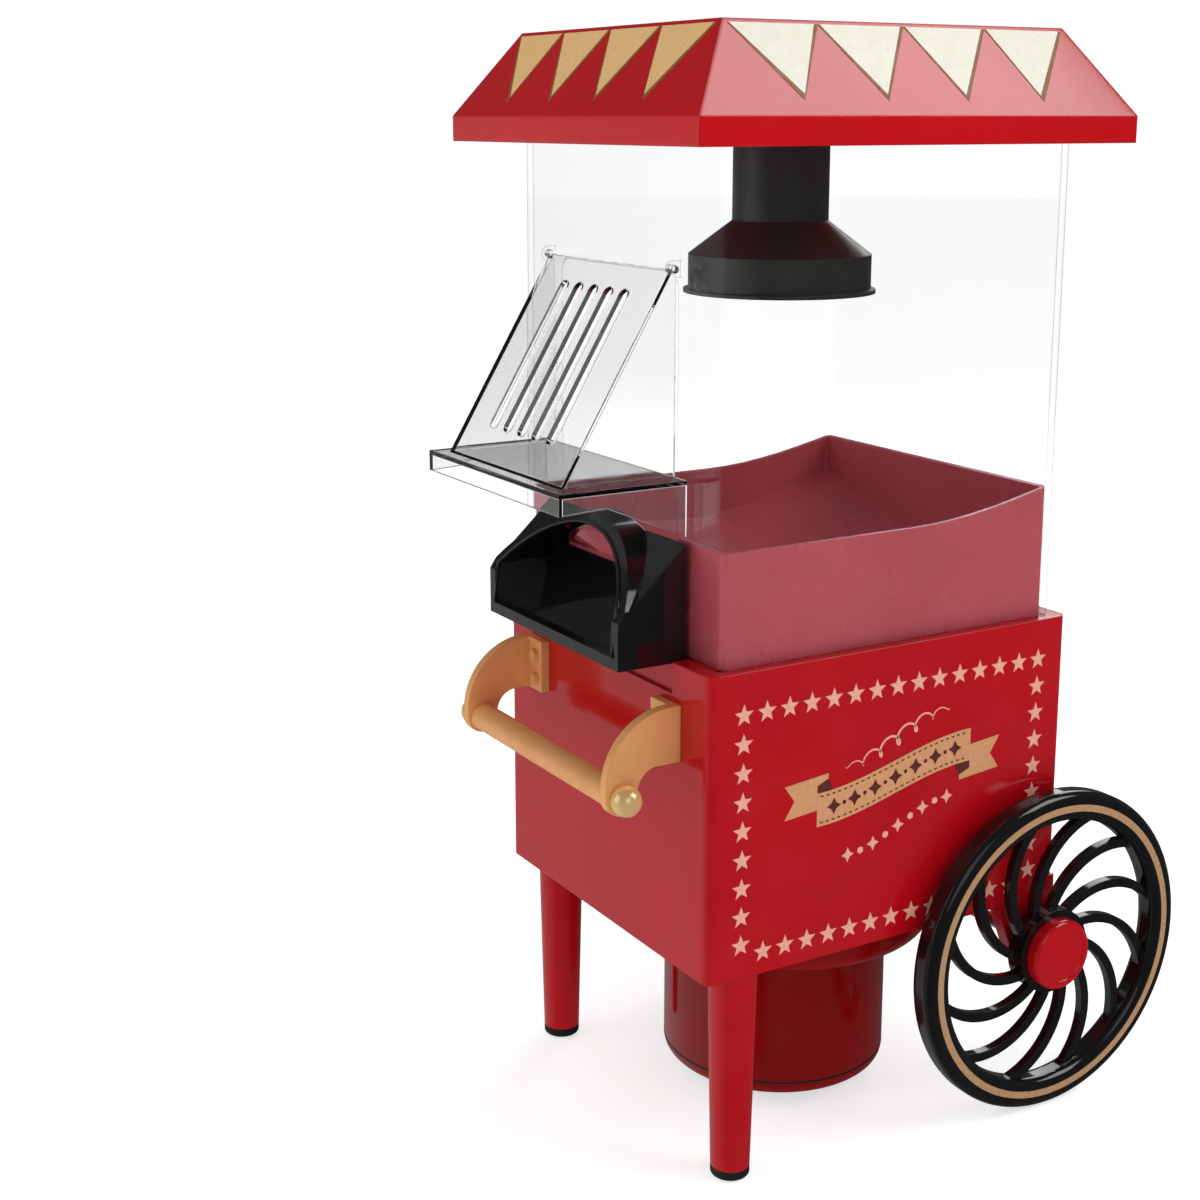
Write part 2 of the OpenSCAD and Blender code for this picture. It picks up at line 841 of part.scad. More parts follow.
// A raked arch between two side walls that slope back to the chamber
module chute_outside() {
    profile_x(-chute_w / 2, chute_w / 2) polygon([
        [chute_front, chute_z],
        [chute_front, chute_z + chute_nose],
        [chute_back, chute_z + chute_back_h],
        [chute_back, chute_z]
    ]);
    intersection() {
        profile_y(chute_front, chute_back) chute_outline(0);
        profile_x(-chute_w, chute_w) polygon([
            [chute_front, chute_z],
            [chute_front, chute_z + chute_nose],
            [chute_front + chute_rake, chute_top],
            [chute_back, chute_top],
            [chute_back, chute_z]
        ]);
    }
}

// Everything inside the chute's rim and inside its neck
module chute_passage() {
    profile_y(chute_front - cut, chute_back - chute_wall) chute_outline(chute_rim);
    profile_y(chute_back - chute_wall - eps, neck_end + cut) neck_outline(chute_wall);
}

// Side view of the ramp that the corn slides down, from the neck to the front lip
module ramp_outline() {
    polygon([
        [chute_front, chute_z],
        [chute_front, chute_z + chute_rim],
        [chute_front + chute_rim, chute_z + chute_rim],
        [neck_end, chute_z + ramp_h],
        [neck_end + 2 * cut, chute_z + ramp_h],
        [neck_end + 2 * cut, chute_z]
    ]);
}

// Outline of the chute, [x, z]: a flat floor, upright sides and a low round arch, drawn in by t
module chute_outline(t) {
    intersection() {
        translate([-chute_w / 2 + t, chute_z + t]) square([chute_w - 2 * t, chute_top - chute_z]);
        translate([0, chute_top - arch_r]) circle(arch_r - t, $fn = 180);
    }
}

// Outline of the neck that passes through the doorway
module neck_outline(t) {
    rise = neck_h - neck_side;
    r = (pow(neck_w / 2, 2) + pow(rise, 2)) / (2 * rise);
    intersection() {
        translate([-neck_w / 2 + t, chute_z + t]) square([neck_w - 2 * t, neck_h]);
        translate([0, chute_z + neck_h - r]) circle(r - t, $fn = 180);
    }
}

// Height of the hopper's rim at a place from 0 at the front to 1 at the back
function rim_height(t) =
    let (s = max(0, (t - hopper_level) / (1 - hopper_level)))
    hopper_front + (hopper_back - hopper_front) * (1 - cos(90 * s));

module hopper() color(red) difference() {
    intersection() {
        prism(skirt_w, skirt_d, chamber_corner - chamber_wall / 2, body_top - collar_h, hopper_back);
        union() {
            difference() {
                prism(skirt_w + cut, skirt_d + cut, 1, body_top, hopper_back);
                prism(skirt_w - 2 * hopper_wall, skirt_d - 2 * hopper_wall, 1,
                      body_top - cut, hopper_back + cut);
            }
            difference() {
                funnel(-hopper_wall * 1.4);
                funnel(0);
            }
            rod(pop_r + hopper_wall, mouth_z - eps, mouth_z + 2);
        }
        rim_profile();
    }
    hopper_exit();
    rod(pop_r, body_top - collar_h - cut, mouth_z + 6);
    rod(pop_r + pop_wall + flange_w + slip, body_top - collar_h - cut, mouth_z);
}

// Everything above the funnel's conical floor, moved down or up by dz
module funnel(dz) {
    translate([0, 0, mouth_z + dz])
        cylinder(r1 = pop_r, r2 = pop_r + 2 * (hopper_corner_r - pop_r), h = 2 * cone_rise);
}

// Notch in the hopper's front where the heaped corn spills over into the chute
module hopper_exit() {
    block([-exit_w / 2, -chamber_y, exit_z],
          [exit_w / 2, -skirt_d / 2 + hopper_wall + eps, hopper_back + cut]);
}

// Side view of the hopper: level at the front, rising to the back
module rim_profile() {
    steps = 16;
    profile_x(-body_w, body_w) polygon(concat(
        [[chamber_y, body_top - collar_h - cut], [-chamber_y, body_top - collar_h - cut]],
        [for (i = [0:steps]) [-chamber_y + chamber_d * i / steps, rim_height(i / steps)]]
    ));
}

// ---- roof, kettle and measuring cup ----

// Solid hipped roof drawn in by t, with its lower edge at roof_z
module hip(t) {
    function side(w, lean) = [
        [-w / 2 + t, -cut * (t > 0 ? 1 : 0)],
        [w / 2 - t, -cut * (t > 0 ? 1 : 0)],
        [w / 2 - t, fascia_h - t / 2],
        [w / 2 - lean - t, roof_h - t],
        [-w / 2 + lean + t, roof_h - t],
        [-w / 2 + t, fascia_h - t / 2]
    ];
    translate([0, roof_y, roof_z]) intersection() {
        profile_y(-roof_d, roof_d) polygon(side(roof_w, slope_in_x));
        profile_x(-roof_w, roof_w) polygon(side(roof_d, slope_in_y));
    }
}

module roof() color(red) difference() {
    union() {
        difference() {
            hip(0);
            hip(roof_wall);
        }
        intersection() {
            hip(roof_wall / 2);
            roof_ribs();
        }
    }
    translate([0, roof_y, 0]) rod(kettle_bore_r, roof_z, roof_top + cut);
}

// Frame under the roof that drops round the chamber and rests on its top edge
module roof_ribs() {
    outer_w = chamber_w + 2 * (slip + rib_t);
    outer_d = chamber_d + 2 * (slip + rib_t);
    difference() {
        prism(outer_w, outer_d, chamber_corner + rib_t, roof_z + 0.5, roof_top);
        prism(chamber_w + 2 * slip, chamber_d + 2 * slip, chamber_corner, roof_z - cut, chamber_top);
        prism(chamber_w - 2 * chamber_wall - 2, chamber_d - 2 * chamber_wall - 2, chamber_corner,
              roof_z - cut, roof_top + cut);
    }
}

module kettle() color(black) translate([0, roof_y, 0]) {
    top = roof_top - roof_wall;
    rod(kettle_flange_r, top - kettle_flange_t, top, kettle_bore_r);
    rotate_extrude() polygon([
        [kettle_bore_r, top],
        [kettle_tube_r, top],
        [kettle_tube_r, cone_z],
        [kettle_bell_r, band_z],
        [kettle_bell_r, kettle_z + 1.5],
        [kettle_bell_r + kettle_lip, kettle_z + 1.5],
        [kettle_bell_r + kettle_lip, kettle_z],
        [kettle_bell_r - kettle_wall, kettle_z],
        [kettle_bell_r - kettle_wall, band_z - 1],
        [kettle_bore_r, cone_z - 1]
    ]);
}

module measuring_cup() color(black) translate([0, roof_y, 0]) {
    lip = roof_top + 0.2;
    difference() {
        union() {
            rod(cup_r, roof_top - cup_depth, lip + eps);
            rod(cup_flange_r, lip, lip + cup_flange_t);
        }
        rod(cup_r - cup_wall, roof_top - cup_depth + cup_wall, lip + cup_flange_t + cut);
    }
    block([-cup_grip_t / 2, -cup_r + cup_wall / 2, lip + cup_flange_t - cup_grip_h],
          [cup_grip_t / 2, cup_r - cup_wall / 2, lip + cup_flange_t]);
}

// ---- handle ----

module handle_bracket() {
    x1 = handle_w / 2;
    difference() {
        union() {
            profile_x(x1 - bracket_t, x1) bracket_outline();
            block([x1 - bracket_foot_w, -body_y - bracket_foot_t, bracket_foot_z],
                  [x1, -body_y, bar_z + bracket_rise]);
        }
        rod_x(axle_r + snug, x1 - bracket_t - cut, x1 + cut, bar_y, bar_z);
        handle_screw_places() cylinder(r = screw_r + snug, h = 20, center = true);
    }
}

// Outline of a bracket, [y, z]: a quarter-round plate with a rounded inner corner
module bracket_outline() {
    inner_r = 8.5;
    arm_in = bar_y + arm_w / 2;
    translate([bar_y, bar_z]) circle(arm_w / 2);
    difference() {
        intersection() {
            translate([bar_y - arm_w / 2 + bow_r, bar_z + bracket_rise - bow_r]) circle(bow_r);
            translate([bar_y - arm_w / 2, bar_z]) square([handle_reach + arm_w / 2, bracket_rise]);
        }
        translate([arm_in, bar_z - cut]) square([handle_reach, bracket_foot_z - bar_z - inner_r + cut]);
        translate([arm_in + inner_r, bar_z - cut]) square([handle_reach, bracket_foot_z - bar_z + cut]);
        translate([arm_in + inner_r, bracket_foot_z - inner_r]) circle(inner_r);
    }
    translate([bar_y - arm_w / 2, bar_z]) square([arm_w, bracket_rise - bow_r]);
    translate([-body_y - 6, bracket_foot_z]) square([6, bracket_rise + bar_z - bracket_foot_z]);
}

// Places of the right-hand bracket's two screws, each looking out from the body's front
module handle_screw_places() {
    for (dz = handle_screw_z)
        translate([handle_w / 2 - bracket_foot_w + 5, -body_y, bracket_foot_z + dz])
            rotate([90, 0, 0]) children();
}

module handle_bracket_right() color(gold) handle_bracket();

module handle_bracket_left() color(gold) mirror([1, 0, 0]) handle_bracket();

module handle_bar() color(gold) {
    x = handle_w / 2;
    rod_x(handle_bar_r, -x + bracket_t, x - bracket_t, bar_y, bar_z);
    rod_x(axle_r, -x - 4, x + 4, bar_y, bar_z);
}

module handle_balls() color(gold) both_sides() difference() {
    translate([handle_w / 2 + ball_r * 0.55, bar_y, bar_z]) sphere(ball_r);
    rod_x(axle_r, 0, handle_w / 2 + 4, bar_y, bar_z);
    block([0, bar_y - ball_r, bar_z - ball_r], [handle_w / 2, bar_y + ball_r, bar_z + ball_r]);
}

module handle_screws() color(gold) both_sides() handle_screw_places()
    translate([0, 0, bracket_foot_t]) screw(handle_screw_l, screw_r, handle_screw_head_r);

// ---- popping works ----

module popping_cup() color(steel) difference() {
    union() {
        rod(pop_r + pop_wall, pop_top - pop_h, pop_top);
        rod(pop_r + pop_wall + flange_w, pop_top - pop_wall, pop_top);
    }
    rod(pop_r, pop_top - pop_h + pop_wall, pop_top + cut);
    for (i = [0:vent_count - 1])
        rotate([0, 0, i * 360 / vent_count])
            translate([pop_r, 0, pop_top - pop_h + 9]) rotate([35, 0, 0]) cube([6, 2, 12], center = true);
}

module heater_duct() color(steel) rod(duct_r, duct_z, duct_top, duct_r - duct_wall);

// Two crossed plates that stand on the shroud's ledge and carry the coil
module mica_frame() color(mica) {
    foot_w = 2 * (duct_r - duct_wall - snug);
    foot_h = 5;
    for (a = [0, 90])
        rotate([0, 0, a]) {
            block([-mica_w / 2, -mica_t / 2, duct_z], [mica_w / 2, mica_t / 2, coil_z + coil_h]);
            block([-foot_w / 2, -mica_t / 2, duct_z], [foot_w / 2, mica_t / 2, duct_z + foot_h]);
        }
}

// Ring of points round the coil's wire at a turn angle
function coil_ring(a, sides) = [
    for (i = [0:sides - 1]) let (b = i * 360 / sides, r = coil_r + coil_wire_r * cos(b))
        [r * cos(a), r * sin(a), coil_z + 3 + (coil_h - 6) * a / (360 * coil_turns) + coil_wire_r * sin(b)]
];

module heater_coil() color("dimgray") {
    sides = 8;
    rings = 24 * coil_turns;
    points = [for (k = [0:rings]) each coil_ring(k * 15, sides)];
    walls = [
        for (k = [0:rings - 1], i = [0:sides - 1]) let (j = (i + 1) % sides)
            [k * sides + i, (k + 1) * sides + i, (k + 1) * sides + j, k * sides + j]
    ];
    first = [for (i = [0:sides - 1]) i];
    last = [for (i = [sides - 1:-1:0]) rings * sides + i];
    polyhedron(points, concat(walls, [first, last]));
}

// Puts a child on the outside of the heater duct at an angle and a height
module on_duct(a, z) {
    rotate([0, 0, a]) translate([duct_r + snug, 0, z]) rotate([0, 90, 0]) children();
}

module thermostat() color("tan") on_duct(40, duct_z + 40) {
    cylinder(r = 8, h = 4);
    cylinder(r = 6, h = 9);
    for (y = [-3.5, 3.5]) translate([-1.5, y - 0.4, 8]) cube([3, 0.8, 9]);
}

module thermal_fuse() color("silver") on_duct(75, duct_z + 40) translate([0, 0, 2])
    rotate([90, 0, 0]) cylinder(r = 2, h = 11, center = true);

module fan_shroud() color(black) difference() {
    union() {
        rod(shroud_r + shroud_wall + 4, shroud_floor, shroud_floor + shroud_wall, pan_hole_r);
        rod(shroud_r + shroud_wall, shroud_floor, duct_z + 6, shroud_r);
        rod(shroud_r + eps, duct_z - shroud_wall, duct_z, duct_r - duct_wall - 2);
    }
    base_screw_places() rod(screw_r + snug, shroud_floor - cut, shroud_floor + shroud_wall + cut);
}

module fan() color("gainsboro") difference() {
    union() {
        rod(fan_r, fan_z, fan_z + fan_plate_t);
        rod(fan_hub_r, fan_z, fan_z + fan_h);
        for (i = [0:blade_count - 1])
            rotate([0, 0, i * 360 / blade_count]) translate([fan_hub_r + 6, 0, fan_z]) rotate([0, 0, -25])
                block([0, -0.6, 0], [(fan_r - fan_hub_r - 6) * 0.92, 0.6, fan_h]);
    }
    rod(shaft_r, fan_z - cut, fan_z + fan_h + cut);
}

module motor_shaft() color(steel) rod(shaft_r, shaft_foot, shaft_top);

module motor() color(steel) difference() {
    union() {
        rod(motor_r, motor_z, plate_z);
        rod(boss_top_r, plate_z - eps, plate_z + motor_plate_t + 1);
        rod(7, motor_z - motor_cap_t, motor_z + eps);
    }
    rod(shaft_r + running, shaft_foot - 1, plate_z + 10);
    motor_screw_places() rod(screw_r + snug, -8, cut);
}

// Places of the two screws between the motor and its plate, at the plate's underside
module motor_screw_places() both_sides() translate([motor_screw_x, 0, plate_z]) children();

module motor_plate() color(black) difference() {
    rod(base_r - base_wall - snug, plate_z, plate_z + motor_plate_t);
    rod(boss_top_r + snug, plate_z - cut, plate_z + motor_plate_t + cut);
    for (i = [0:5])
        rotate([0, 0, i * 60]) translate([28, 0, 0]) rod(8, plate_z - cut, plate_z + motor_plate_t + cut);
    base_screw_places() rod(screw_r + snug, plate_z - cut, plate_z + motor_plate_t + cut);
    motor_screw_places() rod(screw_r + snug, -cut, motor_plate_t + cut);
}

module rectifier_board() color("darkgreen") {
    rod(board_r, board_z, board_z + board_t);
    for (x = [-1, 1], y = [-1, 1])
        translate([x * 6, y * 7, board_z - 2]) rotate([0, 90, 0]) cylinder(r = 2 + eps, h = 6, center = true);
}

// ---- switch and cord entry ----

module switch_housing() color(black) difference() {
    union() {
        switch_block(switch_w + 2 * switch_flange, switch_h + 2 * switch_flange,
                     body_y, body_y + switch_flange_t);
        switch_block(switch_w - 2 * snug, switch_h - 2 * snug, body_y - switch_depth, body_y + eps);
    }
    switch_block(rocker_w + 0.6, switch_h - 3.2, body_y - 7, body_y + switch_flange_t + cut);
    rod_x(rocker_pin_r + running, switch_x - rocker_w / 2 - pin_reach, switch_x + rocker_w / 2 + pin_reach,
          rocker_y, switch_z);
}

module switch_block(w, h, y0, y1) {
    block([switch_x - w / 2, y0, switch_z - h / 2], [switch_x + w / 2, y1, switch_z + h / 2]);
}

// Rocker, drawn tilted to its off position about its pin
module switch_rocker() color(red) {
    translate([switch_x, rocker_y, switch_z]) rotate([-rocker_tilt, 0, 0]) {
        rotate([90, 0, 90]) translate([0, 0, -rocker_w / 2]) linear_extrude(rocker_w) polygon([
            [-2, -rocker_l / 2 + 0.6],
            [4.6, -rocker_l / 2],
            [3.2, 0],
            [4.6, rocker_l / 2],
            [-2, rocker_l / 2 - 0.6]
        ]);
        rotate([0, 90, 0]) cylinder(r = rocker_pin_r, h = rocker_w + 2, center = true);
    }
}

module cord_gland() color(black) difference() {
    union() {
        rod_y(entry_flange_r, body_y, body_y + 2.4, entry_x, entry_z);
        rod_y(entry_body_r, body_y - body_wall - 6, body_y + 4.5, entry_x, entry_z);
    }
    rod_y(entry_r, body_y - 20, body_y + 20, entry_x, entry_z);
}

// ---- fasteners ----

module pan_screws() color(steel) both_sides() for (y = pan_screw_y)
    translate([pan_screw_x, y, body_lift]) rotate([180, 0, 0]) screw(plate_t + boss_h - 4);

module base_screws() color(steel) base_screw_places()
    translate([0, 0, shroud_floor + shroud_wall])
        screw(shroud_floor + shroud_wall - plate_z + 1, screw_r, 2.6);

module motor_screws() color(steel) motor_screw_places()
    translate([0, 0, motor_plate_t]) screw(motor_plate_t + 6, screw_r, motor_screw_head_r);

place() body_shell();
place() under_pan();
place() base_housing();
place() intake_grille();
place() leg_left();
place() leg_right();
place() foot_tip_left();
place() foot_tip_right();
place() axle();
place() axle_spacers();
place() axle_clips();
place() wheel_left();
place() wheel_right();
place() hub_cap_left();
place() hub_cap_right();
place() chamber();
place() hood();
place() chute();
place() hopper();
place() roof();
place() kettle();
place() measuring_cup();
place() handle_bracket_left();
place() handle_bracket_right();
place() handle_bar();
place() handle_balls();
place() handle_screws();
place() popping_cup();
place() heater_duct();
place() mica_frame();
place() heater_coil();
place() thermostat();
place() thermal_fuse();
place() fan_shroud();
place() fan();
place() motor_shaft();
place() motor();
place() motor_plate();
place() motor_screws();
place() rectifier_board();
place() switch_housing();
place() switch_rocker();
place() cord_gland();
place() pan_screws();
place() base_screws();
place() leg_screws();
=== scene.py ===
"""Looks of the cart-shaped popcorn maker: materials, printed decoration, lights and camera.

Every size is in metres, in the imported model's own frame: the front faces -Y and +Z is up.
"""
import json
import math

import bmesh
import bpy
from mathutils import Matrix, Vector


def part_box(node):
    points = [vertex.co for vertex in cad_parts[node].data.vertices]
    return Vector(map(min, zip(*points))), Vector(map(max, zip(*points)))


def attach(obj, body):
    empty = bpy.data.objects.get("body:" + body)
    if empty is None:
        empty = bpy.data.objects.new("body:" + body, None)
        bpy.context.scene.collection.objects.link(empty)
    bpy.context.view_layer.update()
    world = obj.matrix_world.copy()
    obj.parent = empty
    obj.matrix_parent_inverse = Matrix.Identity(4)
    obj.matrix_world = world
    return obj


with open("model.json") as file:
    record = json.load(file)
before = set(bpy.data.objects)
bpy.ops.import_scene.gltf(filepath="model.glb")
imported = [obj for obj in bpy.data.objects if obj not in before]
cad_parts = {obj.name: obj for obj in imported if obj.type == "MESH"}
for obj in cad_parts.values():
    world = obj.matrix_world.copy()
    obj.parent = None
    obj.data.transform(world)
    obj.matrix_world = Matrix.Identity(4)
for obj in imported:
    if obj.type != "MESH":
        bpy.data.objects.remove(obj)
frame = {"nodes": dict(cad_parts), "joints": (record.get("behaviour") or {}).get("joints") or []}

MM = 0.001
PRINT_T = 0.12 * MM  # how far printed decoration stands off its surface
JOINTS = {joint["name"]: joint for joint in frame["joints"]}


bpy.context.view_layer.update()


# ---- node helpers ----

def blank_material(name):
    """A material with one Principled shader, and that shader."""
    material = bpy.data.materials.new(name)
    material.use_nodes = True
    tree = material.node_tree
    tree.nodes.clear()
    output = tree.nodes.new("ShaderNodeOutputMaterial")
    shader = tree.nodes.new("ShaderNodeBsdfPrincipled")
    tree.links.new(shader.outputs["BSDF"], output.inputs["Surface"])
    return material, shader


def noise(tree, scale, detail=4.0, stretch=(1.0, 1.0, 1.0)):
    """Noise in the object's own space, stretched along its axes. The scale is in features per metre."""
    place = tree.nodes.new("ShaderNodeTexCoord")
    mapping = tree.nodes.new("ShaderNodeMapping")
    texture = tree.nodes.new("ShaderNodeTexNoise")
    mapping.inputs["Scale"].default_value = stretch
    texture.inputs["Scale"].default_value = scale
    texture.inputs["Detail"].default_value = detail
    tree.links.new(place.outputs["Object"], mapping.inputs["Vector"])
    tree.links.new(mapping.outputs["Vector"], texture.inputs["Vector"])
    return texture.outputs["Fac"]


def between(tree, factor, low, high, start=0.35, stop=0.65):
    """A number that goes from low to high as the factor goes from start to stop."""
    node = tree.nodes.new("ShaderNodeMapRange")
    node.inputs["From Min"].default_value = start
    node.inputs["From Max"].default_value = stop
    node.inputs["To Min"].default_value = low
    node.inputs["To Max"].default_value = high
    tree.links.new(factor, node.inputs["Value"])
    return node.outputs["Result"]


def colours(tree, factor, first, second):
    """A colour that goes from first to second with the factor. Either may be a socket."""
    node = tree.nodes.new("ShaderNodeMix")
    node.data_type = "RGBA"
    for socket, value in ((node.inputs["A"], first), (node.inputs["B"], second)):
        target = [s for s in node.inputs if s.name == socket.name and s.type == "RGBA"][0]
        if isinstance(value, bpy.types.NodeSocket):
            tree.links.new(value, target)
        else:
            target.default_value = (*value, 1.0)
    tree.links.new(factor, node.inputs["Factor"])
    return [s for s in node.outputs if s.type == "RGBA"][0]


def combined(tree, operation, first, second):
    """Two numbers put together by a math node. The second may be a socket or a plain number."""
    node = tree.nodes.new("ShaderNodeMath")
    node.operation = operation
    tree.links.new(first, node.inputs[0])
    if isinstance(second, bpy.types.NodeSocket):
        tree.links.new(second, node.inputs[1])
    else:
        node.inputs[1].default_value = second
    return node.outputs[0]


def mixed(tree, factor, first, second):
    """The first shader where the factor is 0 and the second where it is 1."""
    node = tree.nodes.new("ShaderNodeMixShader")
    tree.links.new(factor, node.inputs["Fac"])
    tree.links.new(first, node.inputs[1])
    tree.links.new(second, node.inputs[2])
    return node.outputs["Shader"]


def rounded_normal(tree, radius):
    """Normals that round every sharp edge by a small radius, as moulding and pressing do."""
    node = tree.nodes.new("ShaderNodeBevel")
    node.samples = 6
    node.inputs["Radius"].default_value = radius
    return node.outputs["Normal"]


def edge_mask(tree, normal):
    """1 near an edge, 0 on a flat: how far the rounded normal leans from the true one."""
    surface = tree.nodes.new("ShaderNodeNewGeometry")
    dot = tree.nodes.new("ShaderNodeVectorMath")
    dot.operation = "DOT_PRODUCT"
    tree.links.new(normal, dot.inputs[0])
    tree.links.new(surface.outputs["Normal"], dot.inputs[1])
    return between(tree, dot.outputs["Value"], 1.0, 0.0, 0.80, 0.985)


def bumped(tree, height, distance, normal):
    """A bump of the given depth on top of a normal."""
    node = tree.nodes.new("ShaderNodeBump")
    node.inputs["Strength"].default_value = 1.0
    node.inputs["Distance"].default_value = distance
    tree.links.new(height, node.inputs["Height"])
    tree.links.new(normal, node.inputs["Normal"])
    return node.outputs["Normal"]


# ---- materials ----

PLASTIC_IOR = 1.5
CLEAR_IOR = 1.45
SLANT_POWER = 4.0  # how quickly a clear panel's reflection grows towards a slanting view
SLANT_SHARE = 0.85  # how much more it reflects when seen edge on
FACE_SHARE = 0.006  # how much it reflects when seen face on
FLOW = (1.0, 1.0, 0.35)  # stretch of the faint waves in clear plastic, which run upwards


def moulded(name, colour, shade, gloss, edge=0.6 * MM, grain=1400.0, depth=0.000006, coat=0.0, worn=None):
    """Moulded plastic: cloudy colour, uneven gloss, fine surface grain, and edges that may be worn paler.

    gloss is the roughness at its lowest and highest, and edge is the radius of its edges.
    """
    material, shader = blank_material(name)
    tree = material.node_tree
    normal = rounded_normal(tree, edge)
    base = colours(tree, between(tree, noise(tree, 18.0), 0.0, 1.0), colour, shade)
    rough = between(tree, noise(tree, 46.0, 6.0), *gloss)
    if worn:
        patches = between(tree, noise(tree, 130.0), 0.0, 0.6, 0.45, 0.75)
        rub = combined(tree, "MULTIPLY", edge_mask(tree, normal), patches)
        base = colours(tree, rub, base, worn)
        rough = combined(tree, "ADD", rough, combined(tree, "MULTIPLY", rub, 0.15))
    tree.links.new(base, shader.inputs["Base Color"])
    tree.links.new(rough, shader.inputs["Roughness"])
    tree.links.new(bumped(tree, noise(tree, grain, 2.0), depth, normal), shader.inputs["Normal"])
    shader.inputs["IOR"].default_value = PLASTIC_IOR
    shader.inputs["Coat Weight"].default_value = coat
    shader.inputs["Coat Roughness"].default_value = 0.04
    return material


def metal(name, colour, shade, gloss, brush=(1.0, 1.0, 1.0), metallic=1.0, grain=900.0, depth=0.000008,
          edge=0.4 * MM, coat=0.0):
    """Metal, or metallic paint: uneven tone, and a grain that may be brushed along one axis."""
    material, shader = blank_material(name)
    tree = material.node_tree
    normal = rounded_normal(tree, edge)
    grains = noise(tree, grain, 3.0, brush)
    base = colours(tree, between(tree, noise(tree, 60.0), 0.0, 1.0), colour, shade)
    tree.links.new(base, shader.inputs["Base Color"])
    tree.links.new(between(tree, grains, *gloss), shader.inputs["Roughness"])
    tree.links.new(bumped(tree, grains, depth, normal), shader.inputs["Normal"])
    shader.inputs["Metallic"].default_value = metallic
    shader.inputs["Coat Weight"].default_value = coat
    shader.inputs["Coat Roughness"].default_value = 0.12
    return material


def clear_plastic(name, tint, gloss, edge):
    """Thin clear panels: the view passes straight through, and the surface reflects more at a slant."""
    material, shader = blank_material(name)
    tree = material.node_tree
    tree.nodes.remove(shader)
    normal = rounded_normal(tree, edge)
    waves = bumped(tree, noise(tree, 9.0, 2.0, FLOW), 0.00004, normal)
    through = tree.nodes.new("ShaderNodeBsdfTransparent")
    through.inputs["Color"].default_value = (*tint, 1.0)
    sheen = tree.nodes.new("ShaderNodeBsdfGlossy")
    tree.links.new(waves, sheen.inputs["Normal"])
    tree.links.new(between(tree, noise(tree, 70.0, 5.0), *gloss), sheen.inputs["Roughness"])
    slant = tree.nodes.new("ShaderNodeLayerWeight")
    tree.links.new(waves, slant.inputs["Normal"])
    growth = combined(tree, "POWER", slant.outputs["Facing"], SLANT_POWER)
    share = combined(tree, "ADD", combined(tree, "MULTIPLY", growth, SLANT_SHARE), FACE_SHARE)
    shine = mixed(tree, share, through.outputs["BSDF"], sheen.outputs["BSDF"])
    tree.links.new(shine, tree.nodes["Material Output"].inputs["Surface"])
    return material


def clear_moulding(name, tint, gloss, edge):
    """Clear moulded plastic that bends sight at its edges and lets the lamps' light through."""
    material, shader = blank_material(name)
    tree = material.node_tree
    normal = rounded_normal(tree, edge)
    waves = bumped(tree, noise(tree, 9.0, 2.0, FLOW), 0.00005, normal)
    tree.links.new(waves, shader.inputs["Normal"])
    tree.links.new(between(tree, noise(tree, 70.0, 5.0), *gloss), shader.inputs["Roughness"])
    shader.inputs["Base Color"].default_value = (*tint, 1.0)
    shader.inputs["Transmission Weight"].default_value = 1.0
    shader.inputs["IOR"].default_value = CLEAR_IOR
    through = tree.nodes.new("ShaderNodeBsdfTransparent")
    through.inputs["Color"].default_value = (*tint, 1.0)
    path = tree.nodes.new("ShaderNodeLightPath")
    lit = mixed(tree, path.outputs["Is Shadow Ray"], shader.outputs["BSDF"], through.outputs["BSDF"])
    tree.links.new(lit, tree.nodes["Material Output"].inputs["Surface"])
    return material


def printed(name, colour, shade, gloss=(0.3, 0.5), metallic=0.0):
    """Printed ink or foil: slightly mottled where it has taken unevenly."""
    material, shader = blank_material(name)
    tree = material.node_tree
    speckle = between(tree, noise(tree, 900.0, 5.0), 0.0, 1.0, 0.4, 0.7)
    tree.links.new(colours(tree, speckle, colour, shade), shader.inputs["Base Color"])
    tree.links.new(between(tree, noise(tree, 300.0), *gloss), shader.inputs["Roughness"])
    shader.inputs["Metallic"].default_value = metallic
    return material


RED = moulded("red_gloss", (0.46, 0.0030, 0.0085), (0.41, 0.0022, 0.0070), (0.09, 0.17), 0.9 * MM,
              coat=0.3, worn=(0.50, 0.02, 0.03))
# Painted shade: the body's red darkened for the motor base and the under pan, standing in for the shade
# beneath the body.
RED_SHADED = moulded("red_painted_shade", (0.23, 0.0010, 0.0020), (0.20, 0.0008, 0.0016), (0.09, 0.17), 0.9 * MM,
                   coat=0.15)
# Painted light: the body's red made brighter for the roof, standing in for the stronger light on top. Its
# paler edges are wear.
RED_ROOF_LIT = moulded("red_roof_painted_light", (0.55, 0.0025, 0.0070), (0.50, 0.0020, 0.0060), (0.07, 0.14), 1.8 * MM,
                   coat=0.5, worn=(0.60, 0.02, 0.03))
RED_SATIN = moulded("red_hopper", (0.50, 0.085, 0.105), (0.45, 0.075, 0.092), (0.22, 0.34), 0.6 * MM)
BLACK = moulded("black_gloss", (0.0030, 0.0030, 0.0034), (0.0045, 0.0045, 0.0050), (0.07, 0.15), 0.7 * MM,
                coat=0.4, worn=(0.02, 0.02, 0.02))
BLACK_SATIN = moulded("black_satin", (0.010, 0.010, 0.011), (0.015, 0.015, 0.016), (0.34, 0.46),
                      grain=2600.0, depth=0.00002)
KETTLE = moulded("kettle_paint", (0.019, 0.018, 0.018), (0.025, 0.024, 0.023), (0.34, 0.46), 0.8 * MM,
                 grain=2200.0, depth=0.00002, worn=(0.06, 0.06, 0.06))
